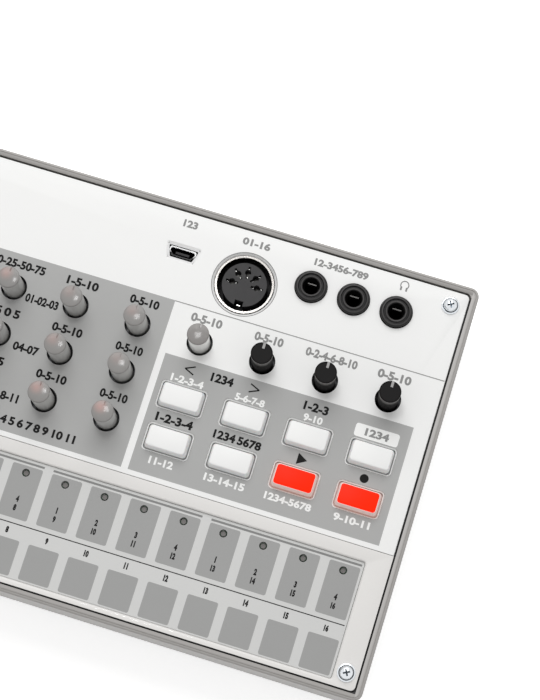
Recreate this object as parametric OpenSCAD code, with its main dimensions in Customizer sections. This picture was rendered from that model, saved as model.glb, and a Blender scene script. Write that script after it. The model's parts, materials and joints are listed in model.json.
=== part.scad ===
// Small battery-powered drum machine: a flat tub with a drop-in control panel, a frame with
// sixteen touch keys, seventeen knobs, nine push buttons, sockets along the back, two circuit
// boards, a speaker and six cells in a bay with a sliding cover.
// Millimetres. The origin is the middle of the footprint on the table, +X to the player's
// right, +Y to the back and +Z up.

/* [Case] */
// Width of the case, side to side
case_w = 193; // [175:1:205]
// Depth of the case, front to back
case_d = 115; // [105:1:125]
// Height over everything, feet to knob tops
total_h = 46; // [42:0.5:52]
// Radius of the case's upright corners
corner_r = 2.5; // [2:0.5:6]
// Thickness of the case's side walls
wall = 1.9; // [1.6:0.1:2]
// Thickness of the case's floor
floor_t = 2; // [1.8:0.1:2.4]
// Rounding of the lower outer edge
bottom_edge_r = 1.2; // [0.6:0.1:1.5]
// Rounding of the rim's outer edge
rim_edge_r = 0.7; // [0.3:0.1:0.9]
// Depth and width of the fine groove along the rim
rim_groove = 0.2; // [0.1:0.05:0.3]
// How far the rim stands above the panel
rim_rise = 0.3; // [0:0.1:0.8]
// Width of the ledge that carries the panel
ledge_w = 1.5; // [1:0.1:1.5]
// Thickness of that ledge
ledge_t = 1.3; // [1:0.1:2]
// Diameter of the posts under the panel and under the board
post_d = 5.8; // [5:0.2:6]

/* [Control panel] */
// Thickness of the panel and of the key frame
panel_t = 2; // [1.6:0.1:2.4]
// Open gap between the panel's edge and the rim
panel_gap = 0.45; // [0.2:0.05:0.8]
// Corner radius of the panel
panel_r = 1.3; // [0.8:0.1:2]
// Panel between its front edge and the middle of the front button row
panel_margin = 11.5; // [10:0.1:12.5]
// Open seam between the panel and the key frame
seam = 0.15; // [0.1:0.05:0.3]
// Panel screws, from the side of the case
screw_side = 6.8; // [6.4:0.1:7.2]
// Panel screws, from the back and the front of the case
screw_end = 6.5; // [6.2:0.1:7]

/* [Knobs] */
// First and last knob columns, from the right and the left side of the case
knob_side = 15.65; // [15:0.1:16.5]
knob_left = 18.95; // [18:0.1:20]
// Distance between knob rows
knob_pitch_y = 13.5; // [13:0.1:14]
// First row, from the back of the case
knob_back = 36.2; // [35:0.1:37]
// Diameter at the top of a knob
knob_d = 5.9; // [5:0.1:6.2]
// Diameter where a knob meets the panel
knob_base_d = 5.8; // [5.4:0.1:6.4]
// Height of a knob over the panel
knob_h = 11.2; // [8:0.1:12]
// Rounding of a knob's top edge
knob_edge_r = 0.9; // [0.4:0.1:1.2]
// Diameter of a knob's hole in the panel
knob_hole_d = 7.1; // [6.8:0.1:8]
// Diameter of the shaft under a knob
shaft_d = 3; // [2.5:0.1:3.5]
// Side and height of a potentiometer's body
pot_w = 9.5; // [9:0.1:10.5]
pot_d = 11; // [10:0.1:12]
pot_h = 6.8; // [6:0.1:7.2]

/* [Buttons] */
// First button row, from the back of the case
button_back = 52.3; // [51.5:0.1:53]
// Distance between the two button rows
button_pitch_y = 12; // [11.5:0.1:12.5]
// Cut-out in the panel
cutout_w = 12.2; // [11.9:0.1:12.6]
cutout_d = 7.1; // [6.8:0.1:7.5]
// Open gap round a button cap
button_gap = 0.35; // [0.2:0.05:0.4]
// Height of a cap over the panel
button_rise = 2.8; // [1.5:0.1:3.5]
// How much narrower a cap's top is, each side
button_draft = 0.65; // [0.2:0.05:1]
// Travel of a button
button_travel = 0.5; // [0.3:0.1:0.8]
// Power button: diameter and place
power_d = 5; // [4:0.1:6]
power_side = 16; // [15:0.1:17]
power_back = 16; // [15:0.1:18]

/* [Display] */
// Size of the clear window
window_w = 31; // [30:0.5:33]
window_d = 12; // [11:0.5:13]
// Size of the digit module behind it
module_w = 30.2; // [28:0.1:30.4]
module_d = 10.2; // [9:0.1:11]
// Window centre, from the left side and the back
window_side = 27.7; // [27:0.1:29]
window_back = 46.5; // [45.5:0.1:47]

/* [Sockets] */
// Three jack sockets: pitch, and the last one's place from the right and from the back
jack_pitch = 12; // [11.5:0.1:12.5]
jack_side = 20.3; // [19.5:0.1:21]
jack_back = 12.55; // [12:0.1:13]
// Bore of a jack socket
jack_bore_d = 3.6; // [3.6:0.05:3.8]
// Outer diameter of a jack's collar, and its height over the panel
jack_collar_d = 8.7; // [8:0.1:9]
jack_collar_rise = 1.3; // [0.8:0.1:1.6]
// Round five-pin socket: place, outer ring, opening and insert
din_side = 61.8; // [60.5:0.1:63]
din_back = 17.15; // [16.6:0.1:18]
din_ring_d = 16.2; // [16:0.1:16.6]
din_open_d = 15; // [14.6:0.1:15.2]
din_insert_d = 12.2; // [11.8:0.1:12.6]
// Circle of the five pins
din_pins_r = 3.5; // [3.3:0.1:3.7]
// Flat data socket: place, width and depth
usb_side = 80.5; // [79.5:0.1:82]
usb_back = 13.8; // [13:0.1:14.5]
usb_w = 7.5; // [7.2:0.1:7.8]
usb_d = 2.7; // [2.4:0.1:2.9]
// Power inlet in the back wall: place, opening and centre pin
dc_side = 21.5; // [20:0.5:24]
dc_hole_d = 8.6; // [8:0.1:9]
dc_bore_d = 6; // [5.6:0.1:6.4]
dc_pin_d = 1.7; // [1.5:0.1:2]

/* [Touch keys] */
// First light hole, from the end of the touch surface's opening
key_end = 5.05; // [4:0.05:6]
// Light holes: diameter, and distance from the back of that opening
key_hole_d = 1.8; // [1.4:0.1:2]
key_hole_back = 3.7; // [3:0.1:5]
// Side, back and front bars of the key frame
frame_side = 6.6; // [6.2:0.1:7]
frame_back = 3.65; // [3.4:0.05:4]
frame_front = 1.5; // [1.4:0.1:2]
// How far the touch surface lies below the frame
key_drop = 0.8; // [0.4:0.1:1]

/* [Power] */
// Cell diameter, length over the nub and nub size
cell_d = 14.5; // [13.8:0.1:14.5]
cell_l = 50.5; // [49.5:0.1:51]
nub_d = 5.5; // [5:0.1:6]
nub_h = 1; // [0.8:0.1:1.5]
// Space round a cell
cell_play = 0.3; // [0.2:0.05:0.4]
// Length of a pressed contact spring
spring_l = 4.5; // [4:0.1:6]
// Thickness of a contact plate
plate_t = 0.4; // [0.3:0.1:0.6]
// Bay centre, from the front of the case
bay_front = 32.5; // [31.5:0.1:33.5]
// Wall of the battery bay
bay_wall = 1.6; // [1.2:0.1:2]
// Roof of the battery bay
roof_t = 1; // [0.8:0.1:1.1]
// Running clearance of the sliding cover
cover_play = 0.2; // [0.1:0.05:0.3]
// Tongues along the cover: width and thickness
tongue_w = 1.4; // [1:0.1:1.6]
tongue_t = 0.8; // [0.6:0.1:0.9]

/* [Speaker] */
// Outer diameter, and place from the left side and the back
speaker_d = 36; // [30:0.5:36]
speaker_side = 27.5; // [27:0.5:29]
speaker_back = 27.5; // [26:0.5:28]
// Grille holes: diameter and distance between rings
grille_hole_d = 2.2; // [1.6:0.1:2.6]
grille_step = 4.2; // [3.6:0.1:4.4]

/* [Boards] */
// Thickness of both circuit boards
board_t = 1.6; // [1.2:0.1:1.6]
// Space between the roof of the battery bay and the main board
board_gap = 0.4; // [0.2:0.1:0.8]
// Space between the case wall and the main board: sides, back and front
board_side = 9.1; // [9:0.1:10]
board_end = 3.6; // [3.2:0.1:4]

/* [Feet] */
// Height and diameter of the rubber feet
foot_h = 1.5; // [1.2:0.1:1.5]
foot_d = 10; // [8:0.5:12]
// Feet from the side and from the front and back
foot_side = 12.5; // [11:0.5:14]
foot_end = 11.5; // [10:0.5:13]

/* [Hidden] */
$fn = 64;
eps = 0.01;

// Heights
panel_top = total_h - knob_h;
panel_under = panel_top - panel_t;
rim_top = panel_top + rim_rise;
floor_top = foot_h + floor_t;
cell_z = floor_top + cell_play + cell_d / 2;
roof_z = cell_z + cell_d / 2 + cell_play;
board_under = roof_z + roof_t + board_gap;
board_top = board_under + board_t;
touch_top = panel_top - key_drop;
touch_board_under = panel_under - board_t;
pot_top = board_top + pot_h;

// Outlines
inner_w = case_w - 2 * wall;
inner_d = case_d - 2 * wall;
ledge_bend = 0.1;
inner_r = ledge_w + ledge_bend;
panel_half = inner_w / 2 - panel_gap;
panel_back_y = inner_d / 2 - panel_gap;
panel_front_y = button_y(1) - panel_margin;
frame_back_y = panel_front_y - seam;
window_half = panel_half - frame_side;
window_back_y = frame_back_y - frame_back;
window_front_y = frame_front - panel_back_y;
board_half_w = inner_w / 2 - board_side;
board_half_d = inner_d / 2 - board_end;

// Places of the knobs in ten columns, counted from the right, and three rows from the back
knob_pitch_x = (case_w - knob_side - knob_left) / 9;
function knob_x(column) = case_w / 2 - knob_side - column * knob_pitch_x;
function knob_y(row) = case_d / 2 - knob_back - row * knob_pitch_y;
CLEAR_KNOBS = [
    [3, 0], [6, 0], [5, 0], [4, 0], [7, 1], [6, 1], [5, 1], [4, 1],
    [7, 2], [6, 2], [5, 2], [4, 2]];
DARK_KNOBS = [[2, 0], [1, 0], [0, 0], [9, 2], [8, 2]];
ALL_KNOBS = concat(CLEAR_KNOBS, DARK_KNOBS);
skirt_play = 0.4;
skirt_z = pot_top + skirt_play;
shaft_z = board_top + 1.4;
shaft_play = 0.05;

// Places of the buttons, which share the knobs' four right-hand columns
function button_y(row) = case_d / 2 - button_back - row * button_pitch_y;
BUTTONS = [for (row = [0, 1]) for (column = [3, 2, 1, 0]) [column, row]];
cap_w = cutout_w - 2 * button_gap;
cap_d = cutout_d - 2 * button_gap;
cap_foot = 0.6;
flange_w = 0.5;
flange_t = 0.8;
flange_play = 0.2;
flange_z = panel_under - flange_play - flange_t;
power_x = power_side - case_w / 2;
power_y = case_d / 2 - power_back;
power_rise = 1.2;
tact_w = 6;
tact_h = 3.5;
tact_floor = 1;
stem_d = 3.4;
stem_z = board_top + tact_floor + 2 * button_travel;
SWITCHES = concat(
    [for (b = BUTTONS) [knob_x(b[0]), button_y(b[1])]], [[power_x, power_y]]);

// Places of the sockets
function jack_x(n) = case_w / 2 - jack_side - n * jack_pitch;
jack_y = case_d / 2 - jack_back;
jack_play = 0.2;
jack_w = 8.6;
jack_body_d = 10.4;
jack_floor = 2;
jack_sink = 0.45;
leaf_z = board_top + jack_floor + 0.5;
leaf_w = 1.2;
leaf_l = 3.8;
leaf_y = 2.3;
din_x = case_w / 2 - din_side;
din_y = case_d / 2 - din_back;
din_base_w = 17;
din_base_t = 3;
din_bevel = 0.85;
usb_x = case_w / 2 - usb_side;
usb_y = case_d / 2 - usb_back;
usb_wall = 0.35;
usb_margin = 0.75;
dc_x = case_w / 2 - dc_side;
dc_w = 9;
dc_l = 14;
dc_h = 11;
dc_depth = 11;
dc_z = board_under - dc_h / 2;
dc_nose_d = dc_hole_d - 0.6;

// Display
window_x = window_side - case_w / 2;
window_y = case_d / 2 - window_back;
window_t = 1.2;
window_lip = 0.9;
window_play = 0.1;
module_h = 7;
module_top = panel_under - window_play;
module_legs_w = 26;
module_legs_y = 3.8;

// Touch keys
key_pitch = 2 * (window_half - key_end) / 15;
function key_x(n) = (n - 7.5) * key_pitch;
key_hole_y = window_back_y - key_hole_back;
touch_play = 0.1;
light_h = 0.6;

// Battery bay
bay_l = 2 * cell_l + spring_l + 2 * plate_t;
cell_pitch = cell_d + cell_play;
bay_w = 3 * cell_pitch + cell_play;
bay_y = bay_front - case_d / 2;
bay_back_y = bay_y + bay_w / 2;
bay_front_y = bay_y - bay_w / 2;
function row_y(n) = bay_y + (1 - n) * cell_pitch;
cover_half = bay_l / 2;
tongue_half = cover_half + tongue_w;
bay_out = tongue_half + cover_play + bay_wall;
cover_back_y = bay_back_y + bay_wall - 2 * cover_play;
lip_top = floor_top - tongue_t - cover_play;
wire_d = 1.4;
wire_hole_d = 2.2;
coil_wire = 0.8;
contact_gap = 0.05;

// Speaker
speaker_x = speaker_side - case_w / 2;
speaker_y = case_d / 2 - speaker_back;
speaker_play = 0.3;
speaker_rim = 3;
basket_d = 20;
magnet_d = 18;
basket_top = floor_top + 7;

// Posts and screws
post_x = board_half_w - 3.5;
lower_post_y = (button_y(1) + key_hole_y) / 2;
BOARD_POSTS = [
    [post_x, (knob_y(0) + jack_y) / 2], [post_x, lower_post_y], [post_x, 4 - board_half_d],
    [-post_x, 4 - board_half_d], [-post_x, lower_post_y],
    [speaker_x + speaker_d / 2 + 4, board_half_d - 5], [0, board_half_d - 5]];
front_screw_x = panel_half - frame_side / 2;
CORNER_POSTS = [for (side = [-1, 1]) each [
    [side * (case_w / 2 - screw_side), case_d / 2 - screw_end],
    [side * front_screw_x, screw_end - case_d / 2]]];
screw_d = 2.5;
screw_play = 0.05;
screw_head_d = 4.9;
screw_head_h = 1.9;
board_head_d = 4.4;
board_head_h = 1.4;
tiny_d = 1.6;
tiny_head_d = 3.4;
tiny_head_h = 1;
tiny_depth = 1.3;
ledge_play = 0.4;
touch_half = inner_w / 2 - ledge_w - ledge_play;
touch_front_y = ledge_play + ledge_w - inner_d / 2;
touch_back_y = frame_back_y - 0.95;
lip_t = 1.2;
lip_reach = 2.5;
lip_front_y = touch_back_y + 0.25;
TINY_SCREWS = concat(
    [for (side = [-1, 1]) each [
        [side * front_screw_x, touch_back_y - 5], [side * front_screw_x, bay_y - 15]]],
    [for (x = [-60, 0, 60]) [x, touch_back_y - 1.3]]);
function head_sphere(r, h) = (r * r + h * h) / (2 * h);

// ---- Shapes that repeat ----

// Rectangle with round corners, centred
module round_rect(w, d, r) {
    square([w - 2 * r, d], center = true);
    square([w, d - 2 * r], center = true);
    for (x = [-1, 1], y = [-1, 1])
        translate([x * (w / 2 - r), y * (d / 2 - r)]) circle(r);
}

// Rectangle between two corner points, with round corners
module round_area(x0, x1, y0, y1, r) {
    translate([(x0 + x1) / 2, (y0 + y1) / 2]) round_rect(x1 - x0, y1 - y0, r);
}

// Box between two corner points
module span(low, high) {
    translate(low) cube(high - low);
}

// Plate between two heights from a flat outline
module plate(z0, z1) {
    translate([0, 0, z0]) linear_extrude(z1 - z0) children();
}

// The next ring of a mitred tube: each corner slides along dir to the plane at a point
function slide_ring(ring, dir, at, normal) =
    [for (v = ring) v + dir * ((normal * (at - v)) / (normal * dir))];
function run(points, i) = let (step = points[i + 1] - points[i]) step / norm(step);

// Insulated wire along a list of points, with mitred bends
module wire(points, d) {
    sides = 8;
    last = len(points) - 1;
    dir = run(points, 0);
    side_a = abs(dir.z) > 0.9 ? [1, 0, 0] : cross(dir, [0, 0, 1]) / norm(cross(dir, [0, 0, 1]));
    side_b = cross(side_a, dir);
    start = [for (j = [0 : sides - 1]) let (angle = 360 * j / sides)
        points[0] + d / 2 * (cos(angle) * side_a + sin(angle) * side_b)];
    rings = [for (i = 0, ring = start; i <= last; i = i + 1, ring = i > last ? ring : slide_ring(
        ring, run(points, i - 1), points[i], run(points, i - 1) + run(points, min(i, last - 1)))) ring];
    skin = [for (i = [0 : last - 1]) for (j = [0 : sides - 1]) let (next = (j + 1) % sides)
        [i * sides + j, i * sides + next, (i + 1) * sides + next, (i + 1) * sides + j]];
    polyhedron([for (ring = rings) each ring], concat(
        skin, [[for (j = [sides - 1 : -1 : 0]) j]],
        [[for (j = [0 : sides - 1]) last * sides + j]]), convexity = 10);
}

// Domed screw head with a cross recess, standing on z = 0
module screw_head(d, h) {
    r = d / 2;
    dome = h / 2;
    big = head_sphere(r, dome);
    difference() {
        union() {
            cylinder(h = h - dome, d = d);
            intersection() {
                translate([0, 0, h - big]) sphere(r = big);
                cylinder(h = h, d = d);
            }
        }
        for (turn = [0, 90])
            rotate(turn) translate([-d * 0.26, -d * 0.075, h * 0.4]) cube([d * 0.52, d * 0.15, h]);
    }
}

// Contact spring: a coil that narrows from radius r0 to r1 along +Z
module coil(r0, r1, length, turns, wire) {
    sides = 6;
    steps = 12;
    rings = turns * steps;
    points = [for (i = [0 : rings]) let (
        share = i / rings,
        angle = 360 * i / steps,
        r = r0 + (r1 - r0) * share,
        z = wire / 2 + (length - wire) * share)
        for (j = [0 : sides - 1]) let (
            out = r + wire / 2 * cos(360 * j / sides))
            [out * cos(angle), out * sin(angle), z + wire / 2 * sin(360 * j / sides)]];
    skin = [for (i = [0 : rings - 1]) for (j = [0 : sides - 1]) let (next = (j + 1) % sides)
        [i * sides + j, i * sides + next, (i + 1) * sides + next, (i + 1) * sides + j]];
    polyhedron(points, concat(
        skin, [[for (j = [sides - 1 : -1 : 0]) j]],
        [[for (j = [0 : sides - 1]) rings * sides + j]]), convexity = 10);
}

// ---- Case ----

// Section of the closed case: x is the distance out from the middle of a corner's bend
module outer_section() {
    difference() {
        span2(0, foot_h, corner_r, rim_top);
        corner_sliver(corner_r, foot_h, bottom_edge_r, -1);
        corner_sliver(corner_r, rim_top, rim_edge_r, 1);
        span2(corner_r - rim_edge_r - rim_groove, rim_top - rim_groove,
            corner_r - rim_edge_r, rim_top + 1);
    }
}

// Section of the room inside, into which the ledge stands on a slanting underside
module inner_section() {
    ledge_under = panel_under - ledge_t;
    difference() {
        span2(0, floor_top, inner_r, rim_top + 1);
        span2(ledge_bend, ledge_under, inner_r + 1, panel_under);
        polygon([
            [ledge_bend, ledge_under + eps], [inner_r + 1, ledge_under + eps],
            [inner_r + 1, ledge_under - ledge_w], [inner_r, ledge_under - ledge_w],
            [ledge_bend, ledge_under]]);
    }
}

// Flat rectangle between two corner points
module span2(x0, y0, x1, y1) {
    translate([x0, y0]) square([x1 - x0, y1 - y0]);
}

// What a rounding takes off an outer corner at (x, y); side is -1 below and 1 above
module corner_sliver(x, y, r, side) {
    difference() {
        translate([x - r, side > 0 ? y - r : y - 1]) square([r + 1, r + 1]);
        translate([x - r, y - side * r]) circle(r);
    }
}

// Block w by d whose sides and round corners have the given section
module carried_round(w, d, r, z0, z1) {
    half_w = w / 2 - r;
    half_d = d / 2 - r;
    for (i = [0 : 3]) {
        across = i % 2 == 0;
        reach = across ? half_w : half_d;
        half = across ? half_d : half_w;
        rotate(90 * i) {
            translate([reach, -half, 0]) rotate([90, 0, 0]) translate([0, 0, -2 * half])
                linear_extrude(2 * half) children();
            translate([reach, half, 0]) rotate_extrude(angle = 90) children();
        }
    }
    span([-half_w, -half_d, z0], [half_w, half_d, z1]);
}

module walls() {
    difference() {
        carried_round(case_w, case_d, corner_r, foot_h, rim_top) outer_section();
        carried_round(inner_w, inner_d, inner_r, floor_top, rim_top + 1) inner_section();
    }
}

// Bay with its roof, still closed below, and the shelf over the cover in front of it
module bay_box() {
    span([-bay_out, -inner_d / 2 - eps, floor_top - eps],
        [bay_out, bay_front_y - eps, floor_top + cover_play + roof_t]);
    difference() {
        span([-bay_out, bay_front_y - bay_wall, floor_top - eps],
            [bay_out, bay_back_y + bay_wall, roof_z + roof_t]);
        span([-bay_l / 2, bay_front_y, floor_top - 1], [bay_l / 2, bay_back_y, roof_z]);
        for (side = [-1, 1])
            translate([side * bay_out, row_y(side < 0 ? 0 : 2), cell_z + 3])
                rotate([0, 90, 0]) cylinder(h = 4 * bay_wall + 4 * tongue_w, d = wire_hole_d, center = true);
    }
}

// Room for the cover and its tongues, open at the front
module cover_slot() {
    front = -case_d / 2 - 1;
    back = cover_back_y + cover_play;
    span([-cover_half - cover_play, front, 0], [cover_half + cover_play, back, floor_top + cover_play]);
    span([-tongue_half - cover_play, front, lip_top],
        [tongue_half + cover_play, back, floor_top + cover_play]);
}

module grille_holes() {
    for (ring = [0 : 3], i = [0 : max(0, 6 * ring - 1)])
        rotate(ring == 0 ? 0 : 60 * i / ring) translate([ring * grille_step, 0, 0])
            cylinder(h = 3 * floor_t, d = grille_hole_d, center = true);
}

module bottom_case() {
    color("#a8a39d") difference() {
        union() {
            walls();
            bay_box();
            translate([speaker_x, speaker_y, floor_top - eps]) difference() {
                cylinder(h = 2.5, r = speaker_d / 2 + speaker_play + bay_wall);
                translate([0, 0, -1]) cylinder(h = 5, r = speaker_d / 2 + speaker_play);
            }
            for (p = BOARD_POSTS) translate([p.x, p.y, floor_top - eps])
                cylinder(h = board_under - floor_top + eps, d = post_d);
            for (p = CORNER_POSTS) translate([p.x, p.y, floor_top - eps])
                cylinder(h = panel_under - floor_top + eps, d = post_d);
        }
        cover_slot();
        translate([speaker_x, speaker_y, floor_top - floor_t / 2]) grille_holes();
        for (p = concat(BOARD_POSTS, CORNER_POSTS)) translate([p.x, p.y, floor_top + 2])
            cylinder(h = total_h, d = screw_d + 2 * screw_play);
        translate([dc_x, case_d / 2 + 1, dc_z]) rotate([90, 0, 0])
            cylinder(h = wall + 2, d = dc_hole_d);
    }
}

module battery_cover() {
    front = -case_d / 2;
    color("#a8a39d") difference() {
        union() {
            rotate([90, 0, 90]) translate([0, 0, -cover_half]) linear_extrude(2 * cover_half)
                difference() {
                    span2(front, foot_h, cover_back_y, floor_top);
                    mirror([1, 0]) corner_sliver(-front, foot_h, bottom_edge_r, -1);
                }
            span([-tongue_half, front + wall + 1, floor_top - tongue_t],
                [tongue_half, cover_back_y, floor_top]);
        }
        for (i = [0 : 5])
            translate([0, front + 9 + 2 * i, foot_h]) cube([18, 0.9, 0.8], center = true);
        for (side = [-1, 1])
            translate([side * 12, front + 7, foot_h]) cube([0.8, 16, 3 * floor_t], center = true);
    }
}

module rubber_feet() {
    color("#2c2c2e") for (x = [-1, 1], y = [-1, 1])
        translate([x * (case_w / 2 - foot_side), y * (case_d / 2 - foot_end), 0])
            rotate_extrude() difference() {
                span2(0, 0, foot_d / 2, foot_h);
                corner_sliver(foot_d / 2, 0, foot_h / 2, -1);
            }
}

// ---- Panel, key frame and touch keys ----

// Outline of the flat data socket's shell, and of its cut-out when grown
module usb_outline(grow) {
    w = usb_w / 2 + grow;
    d = usb_d / 2 + grow;
    taper = usb_d * 0.4;
    polygon([
        [-w + 0.4, d], [w - 0.4, d], [w, d - 0.4], [w, d - taper], [w - taper, -d],
        [-w + taper, -d], [-w, d - taper], [-w, d - 0.4]]);
}

module top_panel() {
    color("#eeeeec") difference() {
        plate(panel_under, panel_top) difference() {
            round_area(-panel_half, panel_half, panel_front_y - panel_r, panel_back_y, panel_r);
            span2(-case_w, panel_front_y - case_d, case_w, panel_front_y);
        }
        for (k = ALL_KNOBS) translate([knob_x(k[0]), knob_y(k[1]), 0])
            cylinder(h = total_h, d = knob_hole_d);
        plate(0, total_h) for (b = BUTTONS)
            translate([knob_x(b[0]), button_y(b[1])]) round_rect(cutout_w, cutout_d, 0.9);
        translate([power_x, power_y, 0]) cylinder(h = total_h, d = power_d + 2 * button_gap);
        for (n = [0 : 2]) translate([jack_x(n), jack_y, 0])
            cylinder(h = total_h, d = jack_collar_d + 2 * jack_play);
        translate([din_x, din_y, 0]) {
            cylinder(h = total_h, d = din_ring_d + 2 * seam);
            translate([0, 0, panel_top - din_bevel + seam]) cylinder(
                h = din_bevel, d1 = din_ring_d + 2 * seam, d2 = din_ring_d + 2 * din_bevel + 2 * seam);
        }
        translate([usb_x, usb_y, 0]) plate(0, total_h) usb_outline(usb_margin);
        translate([window_x, window_y, 0]) {
            plate(panel_top - window_t, total_h)
                round_rect(window_w + 2 * window_play, window_d + 2 * window_play, 0.8);
            plate(0, total_h) round_rect(window_w - 2 * window_lip, window_d - 2 * window_lip, 0.5);
        }
        for (p = CORNER_POSTS) translate([p.x, p.y, 0])
            cylinder(h = total_h, d = screw_d + 2 * screw_play);
    }
}

module key_frame() {
    color("#d8d4cf") difference() {
        union() {
            plate(panel_under, panel_top) difference() {
                round_area(-panel_half, panel_half, -panel_back_y, frame_back_y + panel_r, panel_r);
                span2(-case_w, frame_back_y, case_w, frame_back_y + case_d);
                round_area(-window_half, window_half, window_front_y, window_back_y, 0.6);
            }
            span([-touch_half, lip_front_y, panel_under - lip_t],
                [touch_half, frame_back_y - eps, panel_under + eps]);
            span([-touch_half, lip_front_y, panel_under - lip_t],
                [touch_half, panel_front_y + lip_reach, panel_under]);
        }
        for (p = CORNER_POSTS) translate([p.x, p.y, 0])
            cylinder(h = total_h, d = screw_d + 2 * screw_play);
        for (p = TINY_SCREWS) translate([p.x, p.y, 0])
            cylinder(h = panel_under + tiny_depth + 0.2, d = tiny_d + 2 * screw_play);
    }
}

module touch_surface() {
    color("#cdcdcb") difference() {
        plate(panel_under, touch_top) round_area(
            touch_play - window_half, window_half - touch_play,
            window_front_y + touch_play, window_back_y - touch_play, 0.5);
        for (n = [0 : 15]) translate([key_x(n), key_hole_y, 0])
            cylinder(h = total_h, d = key_hole_d);
    }
}

module touch_board() {
    notch_x = front_screw_x - post_d / 2 - ledge_play;
    notch_y = screw_end - case_d / 2 + post_d / 2 + ledge_play;
    color("#2f6b45") difference() {
        span([-touch_half, touch_front_y, touch_board_under], [touch_half, touch_back_y, panel_under]);
        for (side = [-1, 1]) translate([side * notch_x, notch_y, 0]) rotate(side > 0 ? -90 : 180)
            cube([wall + frame_side * 2, wall + frame_side * 2, total_h]);
        for (p = TINY_SCREWS) translate([p.x, p.y, 0]) cylinder(h = total_h, d = tiny_d + 0.4);
    }
}

module step_lights() {
    color("#d8cfca") for (n = [0 : 15]) translate([key_x(n), key_hole_y, panel_under])
        cylinder(h = light_h, d = key_hole_d - 0.4);
}

module display_window() {
    color("#5a1c1c") translate([window_x, window_y, 0])
        plate(panel_top - window_t, panel_top) round_rect(window_w, window_d, 0.8);
}

// ---- Boards and what they carry ----

module main_board() {
    color("#2f6b45") difference() {
        span([-board_half_w, -board_half_d, board_under], [board_half_w, board_half_d, board_top]);
        for (p = BOARD_POSTS) translate([p.x, p.y, 0]) cylinder(h = total_h, d = screw_d + 0.6);
    }
}

// Flat chips in the free front part of the main board: place along the board's half width,
// distance behind the front row, width, depth and height
chip_row_y = bay_y - 12;
CHIPS = [
    [0.35, 0, 14, 14, 1.4], [0.1, 0, 8, 11, 1], [0.58, 0, 6, 8, 1.5], [0.77, 0, 5, 6, 1.5],
    [-0.58, 8, 10, 6, 1.6], [-0.77, 8, 5, 4, 1.5]];
module chips() {
    color("#26262a") for (c = CHIPS)
        translate([c[0] * board_half_w - c[2] / 2, chip_row_y + c[1] - c[3] / 2, board_top])
            cube([c[2], c[3], c[4]]);
}

can_d = 6.3;
can_pitch = 9;
can_end = 16.5;
can_room = 1.9;
module capacitors() {
    color("#3a3f55") for (i = [0 : 3])
        translate([can_end + can_pitch * i - board_half_w, bay_y - 20, board_top])
            cylinder(h = touch_board_under - board_top - can_room, d = can_d);
}

module potentiometers() {
    color("#4c5a66") for (k = ALL_KNOBS) translate([knob_x(k[0]), knob_y(k[1]), board_top])
        difference() {
            translate([-pot_w / 2, -pot_d / 2, 0]) cube([pot_w, pot_d, pot_h]);
            translate([0, 0, -1]) cylinder(h = pot_h + 2, d = shaft_d + 2 * shaft_play);
        }
}

module tact_switches() {
    color("#303034") for (p = SWITCHES) translate([p.x, p.y, board_top]) difference() {
        translate([-tact_w / 2, -tact_w / 2, 0]) cube([tact_w, tact_w, tact_h]);
        translate([0, 0, tact_floor]) cylinder(h = tact_h, d = stem_d + 2 * shaft_play);
    }
}

module board_lights() {
    color("#e8b8ae") {
        for (k = CLEAR_KNOBS) translate([knob_x(k[0]), knob_y(k[1]), board_top])
            cylinder(h = light_h, d = shaft_d - 1);
        for (p = SWITCHES) translate([p.x + tact_w / 2 + 0.4, p.y - 0.5, board_top])
            cube([1.6, 1, light_h]);
    }
}

ribbon_x = -20;
ribbon_y = bay_y - 13;
ribbon_w = 20;
ribbon_bare = 3.6;
socket_h = (touch_board_under - board_top - ribbon_bare) / 2;

module ribbon_cable() {
    color("#d9d2c0") span([ribbon_x - ribbon_w / 2, ribbon_y - 0.15, board_top + socket_h],
        [ribbon_x + ribbon_w / 2, ribbon_y + 0.15, touch_board_under - socket_h]);
}

lead_socket_h = 5;
power_socket = [10, cover_back_y + 8];
speaker_socket = [speaker_x + 27, speaker_y - 14];
module board_sockets() {
    color("#ece6d6") {
        for (z = [board_top, touch_board_under - socket_h])
            translate([ribbon_x - ribbon_w / 2 - 1, ribbon_y - 2.2, z])
                cube([ribbon_w + 2, 4.4, socket_h]);
        for (p = [power_socket, speaker_socket])
            translate([p.x - 4, p.y - 3, board_under - lead_socket_h])
                cube([8, 6, lead_socket_h]);
    }
}

module digit_module() {
    bottom = module_top - module_h;
    color("#1c1c1e") translate([window_x, window_y, 0]) {
        span([-module_w / 2, -module_d / 2, bottom], [module_w / 2, module_d / 2, module_top]);
        for (side = [-1, 1]) translate([0, side * module_legs_y, (board_top + bottom) / 2])
            cube([module_legs_w, 0.6, bottom - board_top], center = true);
    }
}

// ---- Sockets ----

module jack_sockets() {
    top = panel_top + jack_collar_rise;
    color("#1e1c1c") for (n = [0 : 2]) translate([jack_x(n), jack_y, 0]) difference() {
        union() {
            span([-jack_w / 2, -jack_body_d / 2, board_top],
                [jack_w / 2, jack_body_d / 2, panel_under - 0.3]);
            rotate_extrude() difference() {
                span2(0, panel_under - 1, jack_collar_d / 2, top);
                corner_sliver(jack_collar_d / 2, top, 0.5, 1);
            }
        }
        translate([0, 0, top - jack_sink]) cylinder(h = 2, d = 6.2);
        translate([0, 0, board_top + jack_floor]) cylinder(h = total_h, d = jack_bore_d);
        span([-leaf_w / 2 - 0.2, 0, leaf_z], [leaf_w / 2 + 0.2, leaf_y + 0.7, leaf_z + leaf_l + 0.2]);
    }
}

function pin_angle(n) = 45 * n;
din_top = panel_top - 0.6;
pin_depth = 6;

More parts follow.
